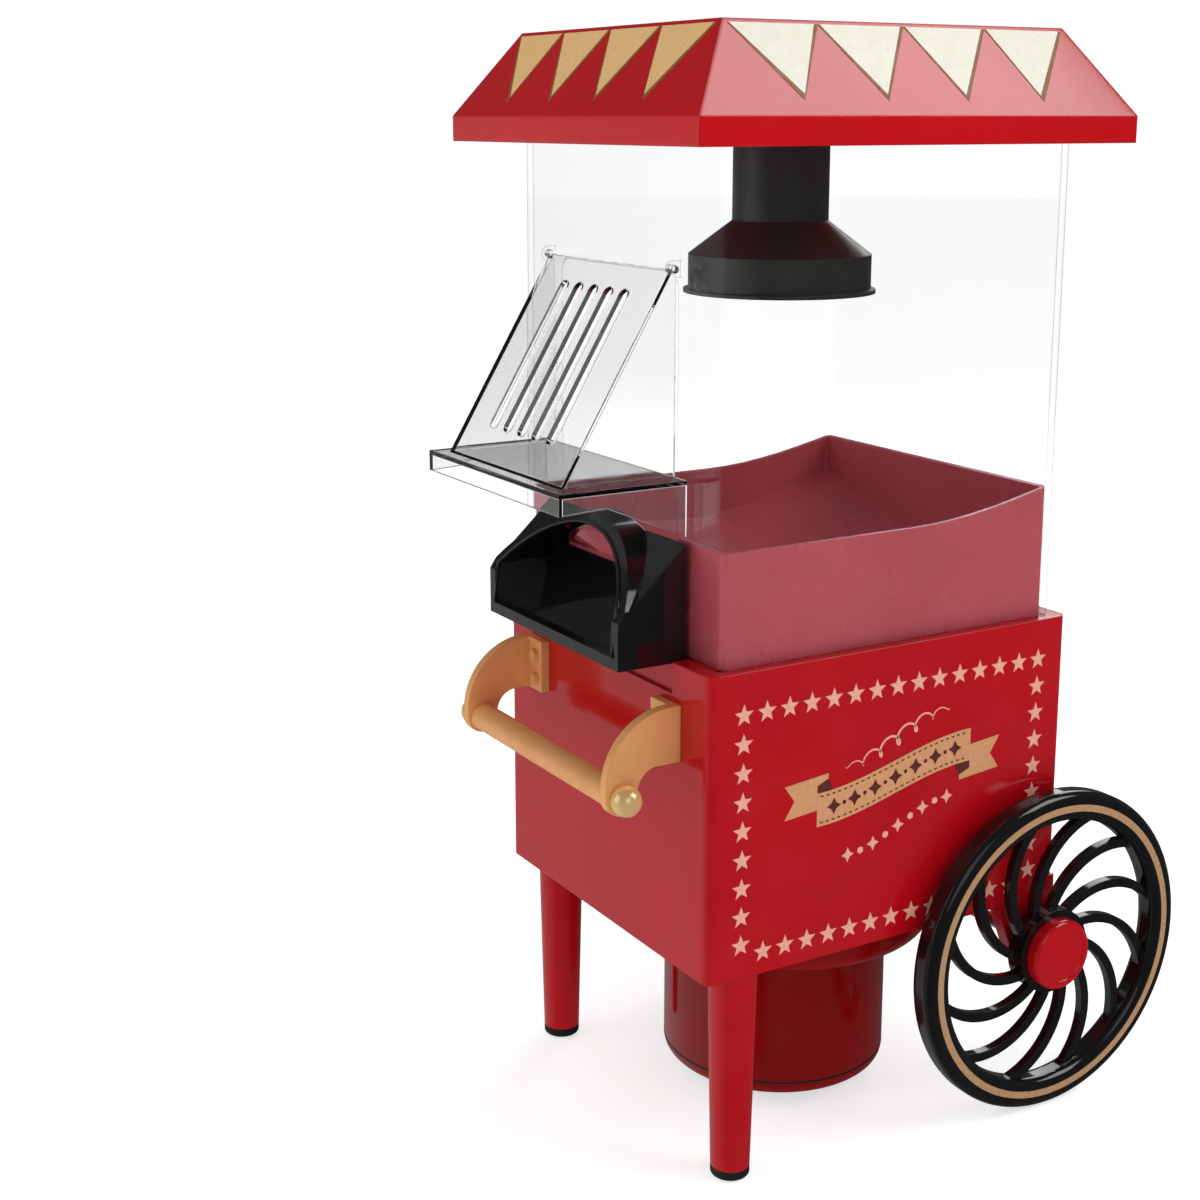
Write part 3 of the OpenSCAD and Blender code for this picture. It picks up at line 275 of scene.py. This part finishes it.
RUBBER = moulded("rubber", (0.006, 0.005, 0.005), (0.011, 0.010, 0.010), (0.55, 0.75),
                 grain=1800.0, depth=0.00005)
GOLD = metal("gold_paint", (0.92, 0.44, 0.165), (0.84, 0.39, 0.14), (0.30, 0.42), metallic=0.25,
             grain=3200.0, edge=0.7 * MM, coat=0.15)
GOLD_BALL = metal("gold_polished", (0.94, 0.64, 0.28), (0.87, 0.57, 0.24), (0.16, 0.26), metallic=0.5,
                  coat=0.3)
STEEL = metal("steel", (0.60, 0.60, 0.61), (0.48, 0.48, 0.49), (0.22, 0.38), brush=(0.05, 1.0, 1.0))
ALLOY = metal("cup_alloy", (0.72, 0.72, 0.73), (0.60, 0.60, 0.61), (0.26, 0.4), brush=(1.0, 1.0, 0.08))
COIL = metal("coil_wire", (0.30, 0.27, 0.25), (0.20, 0.16, 0.15), (0.35, 0.55))
MICA = moulded("mica", (0.50, 0.42, 0.28), (0.36, 0.30, 0.20), (0.3, 0.5), grain=600.0, depth=0.00003)
CERAMIC = moulded("phenolic", (0.46, 0.34, 0.22), (0.38, 0.28, 0.18), (0.4, 0.6))
FAN = moulded("fan_nylon", (0.62, 0.62, 0.60), (0.54, 0.54, 0.52), (0.35, 0.5))
BOARD = moulded("circuit_board", (0.02, 0.11, 0.04), (0.01, 0.07, 0.03), (0.25, 0.4))
CLEAR = clear_plastic("clear_chamber", (0.996, 0.998, 0.998), (0.0, 0.02), 1.2 * MM)
CLEAR_HOOD = clear_moulding("clear_hood", (0.93, 0.935, 0.94), (0.0, 0.03), 0.5 * MM)
INK_STAR = printed("ink_rose_gold", (0.84, 0.40, 0.29), (0.76, 0.34, 0.24))
INK_BANNER = printed("ink_tan", (0.66, 0.31, 0.14), (0.58, 0.26, 0.11))
INK_DARK = printed("ink_brown", (0.10, 0.012, 0.009), (0.14, 0.02, 0.014))
# Painted light and shade: one roof foil in two colours, a deeper gold for the front and back slopes, which
# lie in shade, and a pale cream for the side slopes, which stands in for the light and white reflection they
# catch.
FOIL = printed("foil_gold", (0.97, 0.62, 0.27), (0.90, 0.55, 0.23), (0.22, 0.35), metallic=0.05)
CREAM_PAINTED_LIGHT = printed("foil_cream_painted_light", (0.92, 0.90, 0.76), (0.86, 0.82, 0.66), (0.22, 0.35))
INK_EDGE = printed("ink_edge", (0.30, 0.12, 0.03), (0.24, 0.09, 0.02))
STRIPE = printed("stripe_gold", (0.62, 0.36, 0.19), (0.52, 0.29, 0.14), (0.25, 0.4), metallic=0.3)

LOOKS = {
    RED: ("body_shell", "leg_left", "leg_right", "hub_cap_left", "hub_cap_right", "switch_rocker"),
    RED_SHADED: ("under_pan", "base_housing"),
    RED_ROOF_LIT: ("roof",),
    RED_SATIN: ("hopper",),
    BLACK: ("wheel_left", "wheel_right", "chute"),
    BLACK_SATIN: (
        "intake_grille", "axle_spacers", "measuring_cup", "fan_shroud", "motor_plate", "switch_housing",
        "cord_gland",
    ),
    KETTLE: ("kettle",),
    RUBBER: ("foot_tip_left", "foot_tip_right"),
    GOLD: ("handle_bracket_left", "handle_bracket_right", "handle_bar", "handle_screws"),
    GOLD_BALL: ("handle_balls",),
    STEEL: (
        "axle", "axle_clips", "motor_shaft", "motor", "motor_screws", "pan_screws", "base_screws",
        "leg_screws", "heater_duct", "thermal_fuse",
    ),
    ALLOY: ("popping_cup",),
    COIL: ("heater_coil",),
    MICA: ("mica_frame",),
    CERAMIC: ("thermostat",),
    FAN: ("fan",),
    BOARD: ("rectifier_board",),
    CLEAR: ("chamber",),
    CLEAR_HOOD: ("hood",),
}


def dress_nodes():
    """Gives every CAD node its material, and smooth shading across its gentle bends."""
    for material, names in LOOKS.items():
        for name in names:
            node = frame["nodes"][name]
            node.data.materials.clear()
            node.data.materials.append(material)
            node.data.shade_smooth()
            node.data.set_sharp_from_angle(angle=math.radians(28))


# ---- mesh helpers ----

def mesh_piece(name, mesh, material, body):
    """A shown piece made from a bmesh, riding on a body."""
    data = bpy.data.meshes.new(name)
    mesh.to_mesh(data)
    mesh.free()
    data.materials.append(material)
    piece = bpy.data.objects.new(name, data)
    bpy.context.scene.collection.objects.link(piece)
    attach(piece, body)
    return piece


def add_plate(mesh, outline, place, thickness=PRINT_T):
    """Adds a thin plate with that outline of (u, v) points.

    place(u, v, w) gives the point at (u, v) on a surface, w off it.
    """
    low = [mesh.verts.new(place(u, v, 0.0)) for u, v in outline]
    high = [mesh.verts.new(place(u, v, thickness)) for u, v in outline]
    count = len(outline)
    faces = [mesh.faces.new(high), mesh.faces.new(low[::-1])]
    for i in range(count):
        j = (i + 1) % count
        mesh.faces.new((low[i], low[j], high[j], high[i]))
    mesh.normal_update()
    bmesh.ops.triangulate(mesh, faces=faces, ngon_method="EAR_CLIP")


def plates(name, outlines, place, material, body, thickness=PRINT_T):
    """One piece of several thin plates on the same surface."""
    mesh = bmesh.new()
    for outline in outlines:
        add_plate(mesh, outline, place, thickness)
    bmesh.ops.recalc_face_normals(mesh, faces=mesh.faces)
    return mesh_piece(name, mesh, material, body)


def star(u, v, radius, points=5, waist=0.42):
    """Outline of a star with its first point up. waist is the share of the radius between two points."""
    outline = []
    for i in range(2 * points):
        reach = radius * (waist if i % 2 else 1.0)
        angle = i * math.pi / points
        outline.append((u + reach * math.sin(angle), v + reach * math.cos(angle)))
    return outline


TIP_WIDTH = 0.3  # share of a raised line's width that is left at its two tips


def add_ribbon(mesh, path, width, place, thickness=PRINT_T):
    """Adds a raised line of the given width, narrowed at both ends, that may cross itself."""
    last = len(path) - 1
    sections = []
    for i, (u, v) in enumerate(path):
        before = Vector(path[max(i - 1, 0)])
        after = Vector(path[min(i + 1, last)])
        along = (after - before).normalized()
        half = width / 2 * (TIP_WIDTH + (1 - TIP_WIDTH) * math.sin(math.pi * i / last))
        left = (u - along.y * half, v + along.x * half)
        right = (u + along.y * half, v - along.x * half)
        corners = ((left, 0.0), (right, 0.0), (right, thickness), (left, thickness))
        sections.append([mesh.verts.new(place(*point, w)) for point, w in corners])
    for one, two in zip(sections, sections[1:]):
        for j in range(4):
            k = (j + 1) % 4
            mesh.faces.new((one[j], two[j], two[k], one[k]))
    mesh.faces.new(sections[0][::-1])
    mesh.faces.new(sections[-1])


def lathe(name, profile, centre, axis, material, body, steps=128):
    """A closed ring: a profile of (radius, height) points turned about an axis through the centre."""
    axis = Vector(axis).normalized()
    side = axis.orthogonal().normalized()
    up = axis.cross(side)
    mesh = bmesh.new()
    rings = []
    for i in range(steps):
        angle = 2 * math.pi * i / steps
        out = side * math.cos(angle) + up * math.sin(angle)
        rings.append([mesh.verts.new(Vector(centre) + out * r + axis * h) for r, h in profile])
    for i in range(steps):
        one, two = rings[i], rings[(i + 1) % steps]
        for j in range(len(profile)):
            k = (j + 1) % len(profile)
            mesh.faces.new((one[j], two[j], two[k], one[k]))
    bmesh.ops.recalc_face_normals(mesh, faces=mesh.faces)
    piece = mesh_piece(name, mesh, material, body)
    piece.data.shade_smooth()
    piece.data.set_sharp_from_angle(angle=math.radians(35))
    return piece


# ---- printed sides of the body ----

STAR_R = 4.3 * MM
STAR_PITCH = 10.1 * MM  # along the top and bottom rows
STAR_DROP = 11.1 * MM  # down the two columns
ROW_COUNT = 15
COLUMN_COUNT = 9
TOP_ROW_DROP = 16 * MM  # from the body's top edge to the top row
FOOT_ROW_DROP = 4.44 * MM  # from the last stars of the columns to the bottom row
BANNER_DROP = 52 * MM  # from the body's top edge to the banner's middle
BAND_RISE = 13 * MM  # how much higher the banner's right end is than its left
BAND_HALF_L = 37 * MM
BAND_HALF_H = 6.6 * MM
TAIL_L = 15 * MM
TAIL_LAP = 5 * MM  # length of a tail behind the band
TAIL_SHIFT = 5.5 * MM  # how far a tail lies nearer the banner's middle height than the band's end
TAIL_LEAN = 1.6 * MM
TAIL_FLARE = 0.32 * MM
TAIL_NOTCH = 4.5 * MM
FOLD_L = 8 * MM
FOLD_TIP = 5 * MM
FOLD_DROP = 3 * MM
FOLD_TUCK = 0.9  # share of the band's half height at which the fold's far corner lies
STITCH_COUNT = 26  # along each edge of the band
STITCH_MARGIN = 0.02  # share of the band's length left bare at each end
STITCH_L = 0.018  # share of the band's length
STITCH_H = 0.09  # share of the band's half height
STITCH_LEVEL = 0.78  # share of the band's half height at which the stitches run
MARK_COUNT = 7
MARK_MARGIN = 0.8  # gap from an end of the band to the nearest mark, in gaps between marks
MARK_R = 3.3 * MM
MARK_DOT_R = 0.9 * MM
SCROLL_W = 0.9 * MM
SCROLL_L = 50 * MM
SCROLL_START = -24 * MM
SCROLL_RISE = 15.5 * MM  # from the banner's middle line to the flourish's
SCROLL_SLANT = 1.15  # slant of the flourish for a slant of 1 in the banner
SCROLL_LOOPS = 6
LOOP_HALF_W = 2.4 * MM
LOOP_HALF_H = 2.8 * MM
ROW_L = 48 * MM
ROW_START = -22 * MM
ROW_SINK = 20 * MM  # from the banner's middle line to the small row's
ROW_SLANT = 1.1
ROW_MARKS = 9
ROW_MARK_R = 3.0 * MM
ROW_DOT_R = 1.5 * MM
FOLD_LAYER = 1.3  # how many print thicknesses each layer reaches off the body
BAND_LAYER = 1.6
MARK_LAYER = 2.1


def side_place(sign):
    """Places (u, v, w) on the body's side that faces sign * X, with u to the right as seen from that side."""
    low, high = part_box("body_shell")
    middle = (low.y + high.y) / 2
    face = high.x

    def place(u, v, w):
        return Vector((sign * (face + w), middle + sign * u, v))

    return place


def star_frame(top):
    """Outlines of the stars that frame a side."""
    left = -STAR_PITCH * (ROW_COUNT - 1) / 2
    foot = top - STAR_DROP * (COLUMN_COUNT - 1) - FOOT_ROW_DROP
    outlines = []
    for i in range(ROW_COUNT):
        outlines.append(star(left + i * STAR_PITCH, top, STAR_R))
        if 0 < i < ROW_COUNT - 1:
            outlines.append(star(left + i * STAR_PITCH, foot, STAR_R))
    for i in range(1, COLUMN_COUNT):
        for u in (left, -left):
            outlines.append(star(u, top - i * STAR_DROP, STAR_R))
    return outlines


def band_height(t):
    """How far the banner's middle line rises at t, from 0 at its left end to 1 at its right."""
    return BAND_RISE * (t * t * (3 - 2 * t) - 0.5)


def band_point(t, across, middle):
    """A point on the banner: t along it, and across from -1 at its lower edge to 1 at its upper."""
    return (BAND_HALF_L * (2 * t - 1), middle + band_height(t) + across * BAND_HALF_H)


def band_outline(middle, steps=28):
    """Outline of the banner's middle band."""
    top = [band_point(i / steps, 1.0, middle) for i in range(steps + 1)]
    foot = [band_point(i / steps, -1.0, middle) for i in range(steps, -1, -1)]
    return top + foot


def tail_outline(side, middle):
    """Outline of a swallow-tailed end, side -1 at the left and 1 at the right."""
    root = side * (BAND_HALF_L - TAIL_LAP)
    end = side * (BAND_HALF_L + TAIL_L)
    level = middle + side * (BAND_RISE / 2 - TAIL_SHIFT)
    return [
        (root, level + BAND_HALF_H - side * TAIL_LEAN),
        (end, level + BAND_HALF_H + side * TAIL_FLARE),
        (end - side * TAIL_NOTCH, level),
        (end, level - BAND_HALF_H + side * TAIL_FLARE),
        (root, level - BAND_HALF_H - side * TAIL_LEAN),
    ]


def fold_outline(side, middle):
    """Outline of the dark fold between the band and a tail."""
    corner = side * BAND_HALF_L
    level = middle + side * BAND_RISE / 2
    return [
        (corner, level - side * BAND_HALF_H),
        (corner - side * FOLD_L, level - side * BAND_HALF_H * FOLD_TUCK),
        (corner - side * FOLD_TIP, level - side * (BAND_HALF_H + FOLD_TIP)),
        (corner, level - side * (BAND_HALF_H + FOLD_DROP)),
    ]


def stitches(middle):
    """Outlines of the dashes along the banner's two edges."""
    outlines = []
    for i in range(STITCH_COUNT):
        start = STITCH_MARGIN + i * (1 - 2 * STITCH_MARGIN) / STITCH_COUNT
        stop = start + STITCH_L
        for level in (-STITCH_LEVEL, STITCH_LEVEL):
            low, high = level - STITCH_H / 2, level + STITCH_H / 2
            corners = ((start, low), (stop, low), (stop, high), (start, high))
            outlines.append([band_point(t, across, middle) for t, across in corners])
    return outlines


def banner_marks(middle):
    """Outlines of the four-pointed marks along the banner, with a dot between each two."""
    outlines = []
    pitch = 1 / (MARK_COUNT - 1 + 2 * MARK_MARGIN)
    for i in range(MARK_COUNT):
        t = (i + MARK_MARGIN) * pitch
        outlines.append(star(*band_point(t, 0.0, middle), MARK_R, points=4, waist=0.5))
        if i < MARK_COUNT - 1:
            place = band_point(t + pitch / 2, 0.0, middle)
            outlines.append(star(*place, MARK_DOT_R, points=6, waist=0.9))
    return outlines


def scroll(middle, steps=220):
    """Path of the looped flourish above the banner. Its loops swell towards its middle."""
    path = []
    for i in range(steps + 1):
        t = i / steps
        swell = math.sin(math.pi * t) ** 0.6
        turn = 2 * math.pi * SCROLL_LOOPS * t
        level = middle + SCROLL_RISE + band_height(t) * SCROLL_SLANT
        u = SCROLL_START + SCROLL_L * t - LOOP_HALF_W * swell * math.sin(turn)
        v = level - LOOP_HALF_H * swell * math.cos(turn)
        path.append((u, v))
    return path


def lower_row(middle):
    """Outlines of the row under the banner, a four-pointed mark and a dot in turn."""
    outlines = []
    for i in range(ROW_MARKS):
        t = i / (ROW_MARKS - 1)
        u = ROW_START + ROW_L * t
        v = middle - ROW_SINK + band_height(t) * ROW_SLANT
        if i % 2:
            outlines.append(star(u, v, ROW_DOT_R, points=6, waist=0.85))
        else:
            outlines.append(star(u, v, ROW_MARK_R, points=4, waist=0.45))
    return outlines


def print_side(sign, label):
    """Prints the stars, the banner and its flourishes on one side of the body."""
    place = side_place(sign)
    top_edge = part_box("body_shell")[1].z
    middle = top_edge - BANNER_DROP
    cart = "cart"
    marks = banner_marks(middle) + stitches(middle)

    def raised(layer):
        """The same surface, with plates that many times as thick."""
        return lambda u, v, w: place(u, v, w * layer)

    ends = (-1, 1)
    tails = [tail_outline(end, middle) for end in ends]
    folds = [fold_outline(end, middle) for end in ends]
    plates("stars_" + label, star_frame(top_edge - TOP_ROW_DROP), place, INK_STAR, cart)
    plates("banner_tails_" + label, tails, place, INK_BANNER, cart)
    plates("banner_folds_" + label, folds, raised(FOLD_LAYER), INK_DARK, cart)
    plates("banner_band_" + label, [band_outline(middle)], raised(BAND_LAYER), INK_BANNER, cart)
    plates("banner_marks_" + label, marks, raised(MARK_LAYER), INK_DARK, cart)
    plates("lower_row_" + label, lower_row(middle), place, INK_STAR, cart)
    mesh = bmesh.new()
    add_ribbon(mesh, scroll(middle), SCROLL_W, place)
    bmesh.ops.recalc_face_normals(mesh, faces=mesh.faces)
    mesh_piece("flourish_" + label, mesh, INK_STAR, cart)


# ---- roof ----

ROOF_LEAN_X = 19.5 * MM  # how far the slopes lean in, sideways
ROOF_LEAN_Y = 21.5 * MM  # how far they lean in, front to back
ROOF_FASCIA = 10 * MM  # height of the upright band under the slopes
PENNANTS = 4
PENNANT_LENGTH = 0.80  # share of the slope that a pennant covers
PENNANT_TOP = 0.045  # share of the slope between the roof's flat top and a pennant
PENNANT_REACH = 0.97  # share of the slope's half width that a row of pennants covers
PENNANT_EDGE = 0.022  # share of the slope's half width that the dark edge shows
PENNANT_LAYER = 1.6  # how many print thicknesses a pennant reaches off the roof
UP = Vector((0, 0, 1))


def part_way(pair, share):
    """The value that lies a share of the way from the first of a pair to the second."""
    return pair[0] + (pair[1] - pair[0]) * share


def slope_place(out, half, reach, height, centre):
    """Places (u, v, w) on a roof slope: u from -1 to 1 across it, v from 0 at its foot to 1 at its top.

    half, reach and height are pairs: the value at the slope's foot and the one at its top.
    """
    along = UP.cross(out)
    rise = (out * (reach[1] - reach[0]) + UP * (height[1] - height[0])).normalized()
    normal = along.cross(rise).normalized()
    if normal.z < 0:
        normal = -normal

    def place(u, v, w):
        across = along * (u * part_way(half, v))
        return centre + out * part_way(reach, v) + across + UP * part_way(height, v) + normal * w

    return place


def pennant_row(head, foot, shrink, inset):
    """Outlines of the pennants on one slope, each drawn in by an inset so that its dark edge shows."""
    outlines = []
    pitch = 2 * PENNANT_REACH / PENNANTS
    for i in range(PENNANTS):
        left = i * pitch - PENNANT_REACH
        right = left + pitch
        point = (left + right) / 2 * shrink
        outlines.append([(left + inset * 0.4, head), (right - inset, head), (point, foot + inset * 3)])
    return outlines


def roof_pennants():
    """Hangs printed pennants on the roof's four slopes, points down."""
    low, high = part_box("roof")
    centre = Vector(((low.x + high.x) / 2, (low.y + high.y) / 2, 0))
    half_x, half_y = (high.x - low.x) / 2, (high.y - low.y) / 2
    span_x = (half_x, half_x - ROOF_LEAN_X)
    span_y = (half_y, half_y - ROOF_LEAN_Y)
    height = (low.z + ROOF_FASCIA, high.z)
    # The front and back pennants take the foil in its shaded gold, and the side pennants take it painted pale
    # as lit and reflecting.
    slopes = {
        "front": ((0, -1, 0), span_x, span_y, FOIL),
        "back": ((0, 1, 0), span_x, span_y, FOIL),
        "right": ((1, 0, 0), span_y, span_x, CREAM_PAINTED_LIGHT),
        "left": ((-1, 0, 0), span_y, span_x, CREAM_PAINTED_LIGHT),
    }
    head = 1 - PENNANT_TOP
    foot = head - PENNANT_LENGTH
    for label, (out, half, reach, ink) in slopes.items():
        place = slope_place(Vector(out), half, reach, height, centre)
        edges = pennant_row(head, foot, half[1] / half[0], 0.0)
        faces = pennant_row(head, foot, half[1] / half[0], PENNANT_EDGE)
        plates("edges_" + label, edges, place, INK_EDGE, "roof_body")
        plates("pennants_" + label, faces, place, ink, "roof_body", PRINT_T * PENNANT_LAYER)


# ---- wheels, base and chute ----

STRIPE_R = 60.6 * MM  # middle of the gold line round a wheel
STRIPE_W = 3.0 * MM


def wheel_stripes():
    """Gold line round the outer face of each wheel's rim, proud of it by a print's thickness."""
    centre = Vector(JOINTS["wheel_right_spin"]["pos_m"])
    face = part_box("wheel_right")[1].x
    profile = [
        (STRIPE_R - STRIPE_W / 2, -PRINT_T),
        (STRIPE_R + STRIPE_W / 2, -PRINT_T),
        (STRIPE_R + STRIPE_W / 2 - PRINT_T, PRINT_T),
        (STRIPE_R - STRIPE_W / 2 + PRINT_T, PRINT_T),
    ]
    for sign, label in ((1, "right"), (-1, "left")):
        place = Vector((sign * face, centre.y, centre.z))
        lathe("wheel_stripe_" + label, profile, place, (sign, 0, 0), STRIPE, f"wheel_{label}_body")


SEAM_RISE = 6.6 * MM  # from the base's foot to the middle of the seam
SEAM_HALF_H = 0.45 * MM
SEAM_SKIN = 0.06 * MM  # how far the seam's ring stands out of the base


def base_seam():
    """Dark joint line near the motor base's foot."""
    low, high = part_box("base_housing")
    radius = (high.x - low.x) / 2
    inner, outer = radius - SEAM_SKIN, radius + SEAM_SKIN
    profile = [(inner, -SEAM_HALF_H), (outer, -SEAM_HALF_H), (outer, SEAM_HALF_H), (inner, SEAM_HALF_H)]
    centre = ((low.x + high.x) / 2, (low.y + high.y) / 2, low.z + SEAM_RISE)
    lathe("base_seam", profile, centre, UP, BLACK_SATIN, "cart")


CHUTE_SIDE = 22 * MM  # height of the upright sides under the arch
CHUTE_NOSE = 18 * MM  # height of the front edge before it slopes back
CHUTE_RAKE = 20 * MM  # how far the arch's top is set back from the front edge
CHUTE_RIM = 4.5 * MM
CHUTE_BEAD = 0.9 * MM
ARCH_STEPS = 40


def chute_rim():
    """Small rolled bead round the chute's mouth, along its upright sides and its arch."""
    low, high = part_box("chute")
    half = (high.x - low.x) / 2
    middle = (high.x + low.x) / 2
    rise = high.z - low.z - CHUTE_SIDE
    radius = (half * half + rise * rise) / (2 * rise)
    inset = CHUTE_RIM - CHUTE_BEAD / 2
    bend = radius - inset
    centre_z = high.z - radius
    edge = half - inset
    start = math.acos(edge / bend)
    angles = [start + (math.pi - 2 * start) * i / ARCH_STEPS for i in range(ARCH_STEPS + 1)]
    arch = [(bend * math.cos(a), centre_z + bend * math.sin(a)) for a in angles]
    foot = low.z + CHUTE_RIM
    outline = [(edge, foot)] + arch + [(-edge, foot)]
    slope = CHUTE_RAKE / (high.z - low.z - CHUTE_NOSE)
    curve = bpy.data.curves.new("chute_rim", "CURVE")
    curve.dimensions = "3D"
    curve.bevel_depth = CHUTE_BEAD
    curve.bevel_resolution = 5
    curve.use_fill_caps = True
    spline = curve.splines.new("POLY")
    spline.points.add(len(outline) - 1)
    for point, (x, z) in zip(spline.points, outline):
        y = low.y + max(0.0, z - low.z - CHUTE_NOSE) * slope
        point.co = (middle + x, y, z, 1.0)
    curve.materials.append(BLACK)
    rim = bpy.data.objects.new("chute_rim", curve)
    bpy.context.scene.collection.objects.link(rim)
    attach(rim, "cart")


# ---- studio ----

FLOOR_R = 9.0
FLOOR_DROP = 0.4 * MM  # keeps the floor clear of the feet
FLOOR_GLOW = 0.62
SEEN_GLOW = 1.05  # of the surroundings to the eye
SKY_GLOW = 0.42  # of the surroundings as a light
CARD_TOWARDS = (-0.8, -0.6, 0.0)
CARD_GLOW = 0.30
MIRROR_GLOW = 0.07  # of the surroundings in reflections, away from the card
CAMERA_PLACE = (0.6012, -0.44375, 0.3975)
CAMERA_TILT = 78.27  # degrees up from straight down
CAMERA_TURN = 59.55  # degrees from looking along +Y
CAMERA_LENS = 55.9  # focal length in mm
CAMERA_SENSOR = 36.0  # sensor width in mm
CAMERA_SHIFT = -0.08


def floor():
    """Plain pale floor, which the machine's glossy sides don't mirror."""
    mesh = bmesh.new()
    bmesh.ops.create_circle(mesh, cap_ends=True, radius=FLOOR_R, segments=96)
    data = bpy.data.meshes.new("floor")
    mesh.to_mesh(data)
    mesh.free()
    plane = bpy.data.objects.new("floor", data)
    plane.location.z = -FLOOR_DROP
    material, shader = blank_material("floor_white")
    shader.inputs["Base Color"].default_value = (0.80, 0.80, 0.80, 1.0)
    shader.inputs["Roughness"].default_value = 0.9
    shader.inputs["Specular IOR Level"].default_value = 0.0
    shader.inputs["Emission Color"].default_value = (1.0, 1.0, 1.0, 1.0)
    shader.inputs["Emission Strength"].default_value = FLOOR_GLOW
    data.materials.append(material)
    plane.visible_glossy = False
    bpy.context.scene.collection.objects.link(plane)


def background(tree, strength):
    """A white background shader. The strength may be a socket or a plain number."""
    node = tree.nodes.new("ShaderNodeBackground")
    node.inputs["Color"].default_value = (1.0, 1.0, 1.0, 1.0)
    if isinstance(strength, bpy.types.NodeSocket):
        tree.links.new(strength, node.inputs["Strength"])
    else:
        node.inputs["Strength"].default_value = strength
    return node.outputs["Background"]


def surround():
    """White to look at, softer as a light, and dark in reflections but for a pale card low at the front."""
    world = bpy.data.worlds.new("studio")
    world.use_nodes = True
    tree = world.node_tree
    tree.nodes.clear()
    place = tree.nodes.new("ShaderNodeTexCoord")
    lean = tree.nodes.new("ShaderNodeVectorMath")
    lean.operation = "DOT_PRODUCT"
    lean.inputs[1].default_value = CARD_TOWARDS
    tree.links.new(place.outputs["Generated"], lean.inputs[0])
    height = tree.nodes.new("ShaderNodeSeparateXYZ")
    tree.links.new(place.outputs["Generated"], height.inputs[0])
    towards = between(tree, lean.outputs["Value"], 0.0, 1.0, 0.1, 0.85)
    below = between(tree, height.outputs["Z"], 1.0, 0.0, -0.05, 0.12)
    card = combined(tree, "MULTIPLY", towards, below)
    mirror = combined(tree, "ADD", combined(tree, "MULTIPLY", card, CARD_GLOW), MIRROR_GLOW)
    path = tree.nodes.new("ShaderNodeLightPath")
    backdrop, sky = background(tree, SEEN_GLOW), background(tree, SKY_GLOW)
    seen = mixed(tree, path.outputs["Is Diffuse Ray"], backdrop, sky)
    whole = mixed(tree, path.outputs["Is Glossy Ray"], seen, background(tree, mirror))
    output = tree.nodes.new("ShaderNodeOutputWorld")
    tree.links.new(whole, output.inputs["Surface"])
    bpy.context.scene.world = world


def lamp(name, place, target, width, power):
    """A soft square white lamp at a place, turned towards a target."""
    data = bpy.data.lights.new(name, "AREA")
    data.shape = "SQUARE"
    data.size = width
    data.energy = power
    lamp_object = bpy.data.objects.new(name, data)
    lamp_object.location = place
    direction = Vector(target) - Vector(place)
    lamp_object.rotation_euler = direction.to_track_quat("-Z", "Y").to_euler()
    bpy.context.scene.collection.objects.link(lamp_object)


def lamps():
    """Key from behind on the right, fills from the right and the front, and a rim lamp on the left."""
    middle = (0.0, 0.0, 0.22)
    lamp("key", (0.94, 0.96, 1.39), middle, 0.9, 9.0)
    lamp("side_fill", (1.5, -0.5, 0.9), middle, 1.0, 2.0)
    lamp("front_fill", (-0.5, -1.5, 0.7), middle, 1.2, 4.0)
    lamp("back_rim", (-0.9, 1.2, 1.0), middle, 0.8, 5.0)


def camera():
    """Camera at the reference's viewing angle."""
    data = bpy.data.cameras.new("camera")
    data.sensor_width = CAMERA_SENSOR
    data.lens = CAMERA_LENS
    data.shift_y = CAMERA_SHIFT
    data.clip_end = 4 * FLOOR_R
    view = bpy.data.objects.new("camera", data)
    view.location = CAMERA_PLACE
    view.rotation_euler = (math.radians(CAMERA_TILT), 0.0, math.radians(CAMERA_TURN))
    bpy.context.scene.collection.objects.link(view)
    bpy.context.scene.camera = view


dress_nodes()
print_side(1, "right")
print_side(-1, "left")
roof_pennants()
wheel_stripes()
base_seam()
chute_rim()
floor()
surround()
lamps()
camera()
bpy.context.scene.view_settings.view_transform = "Standard"
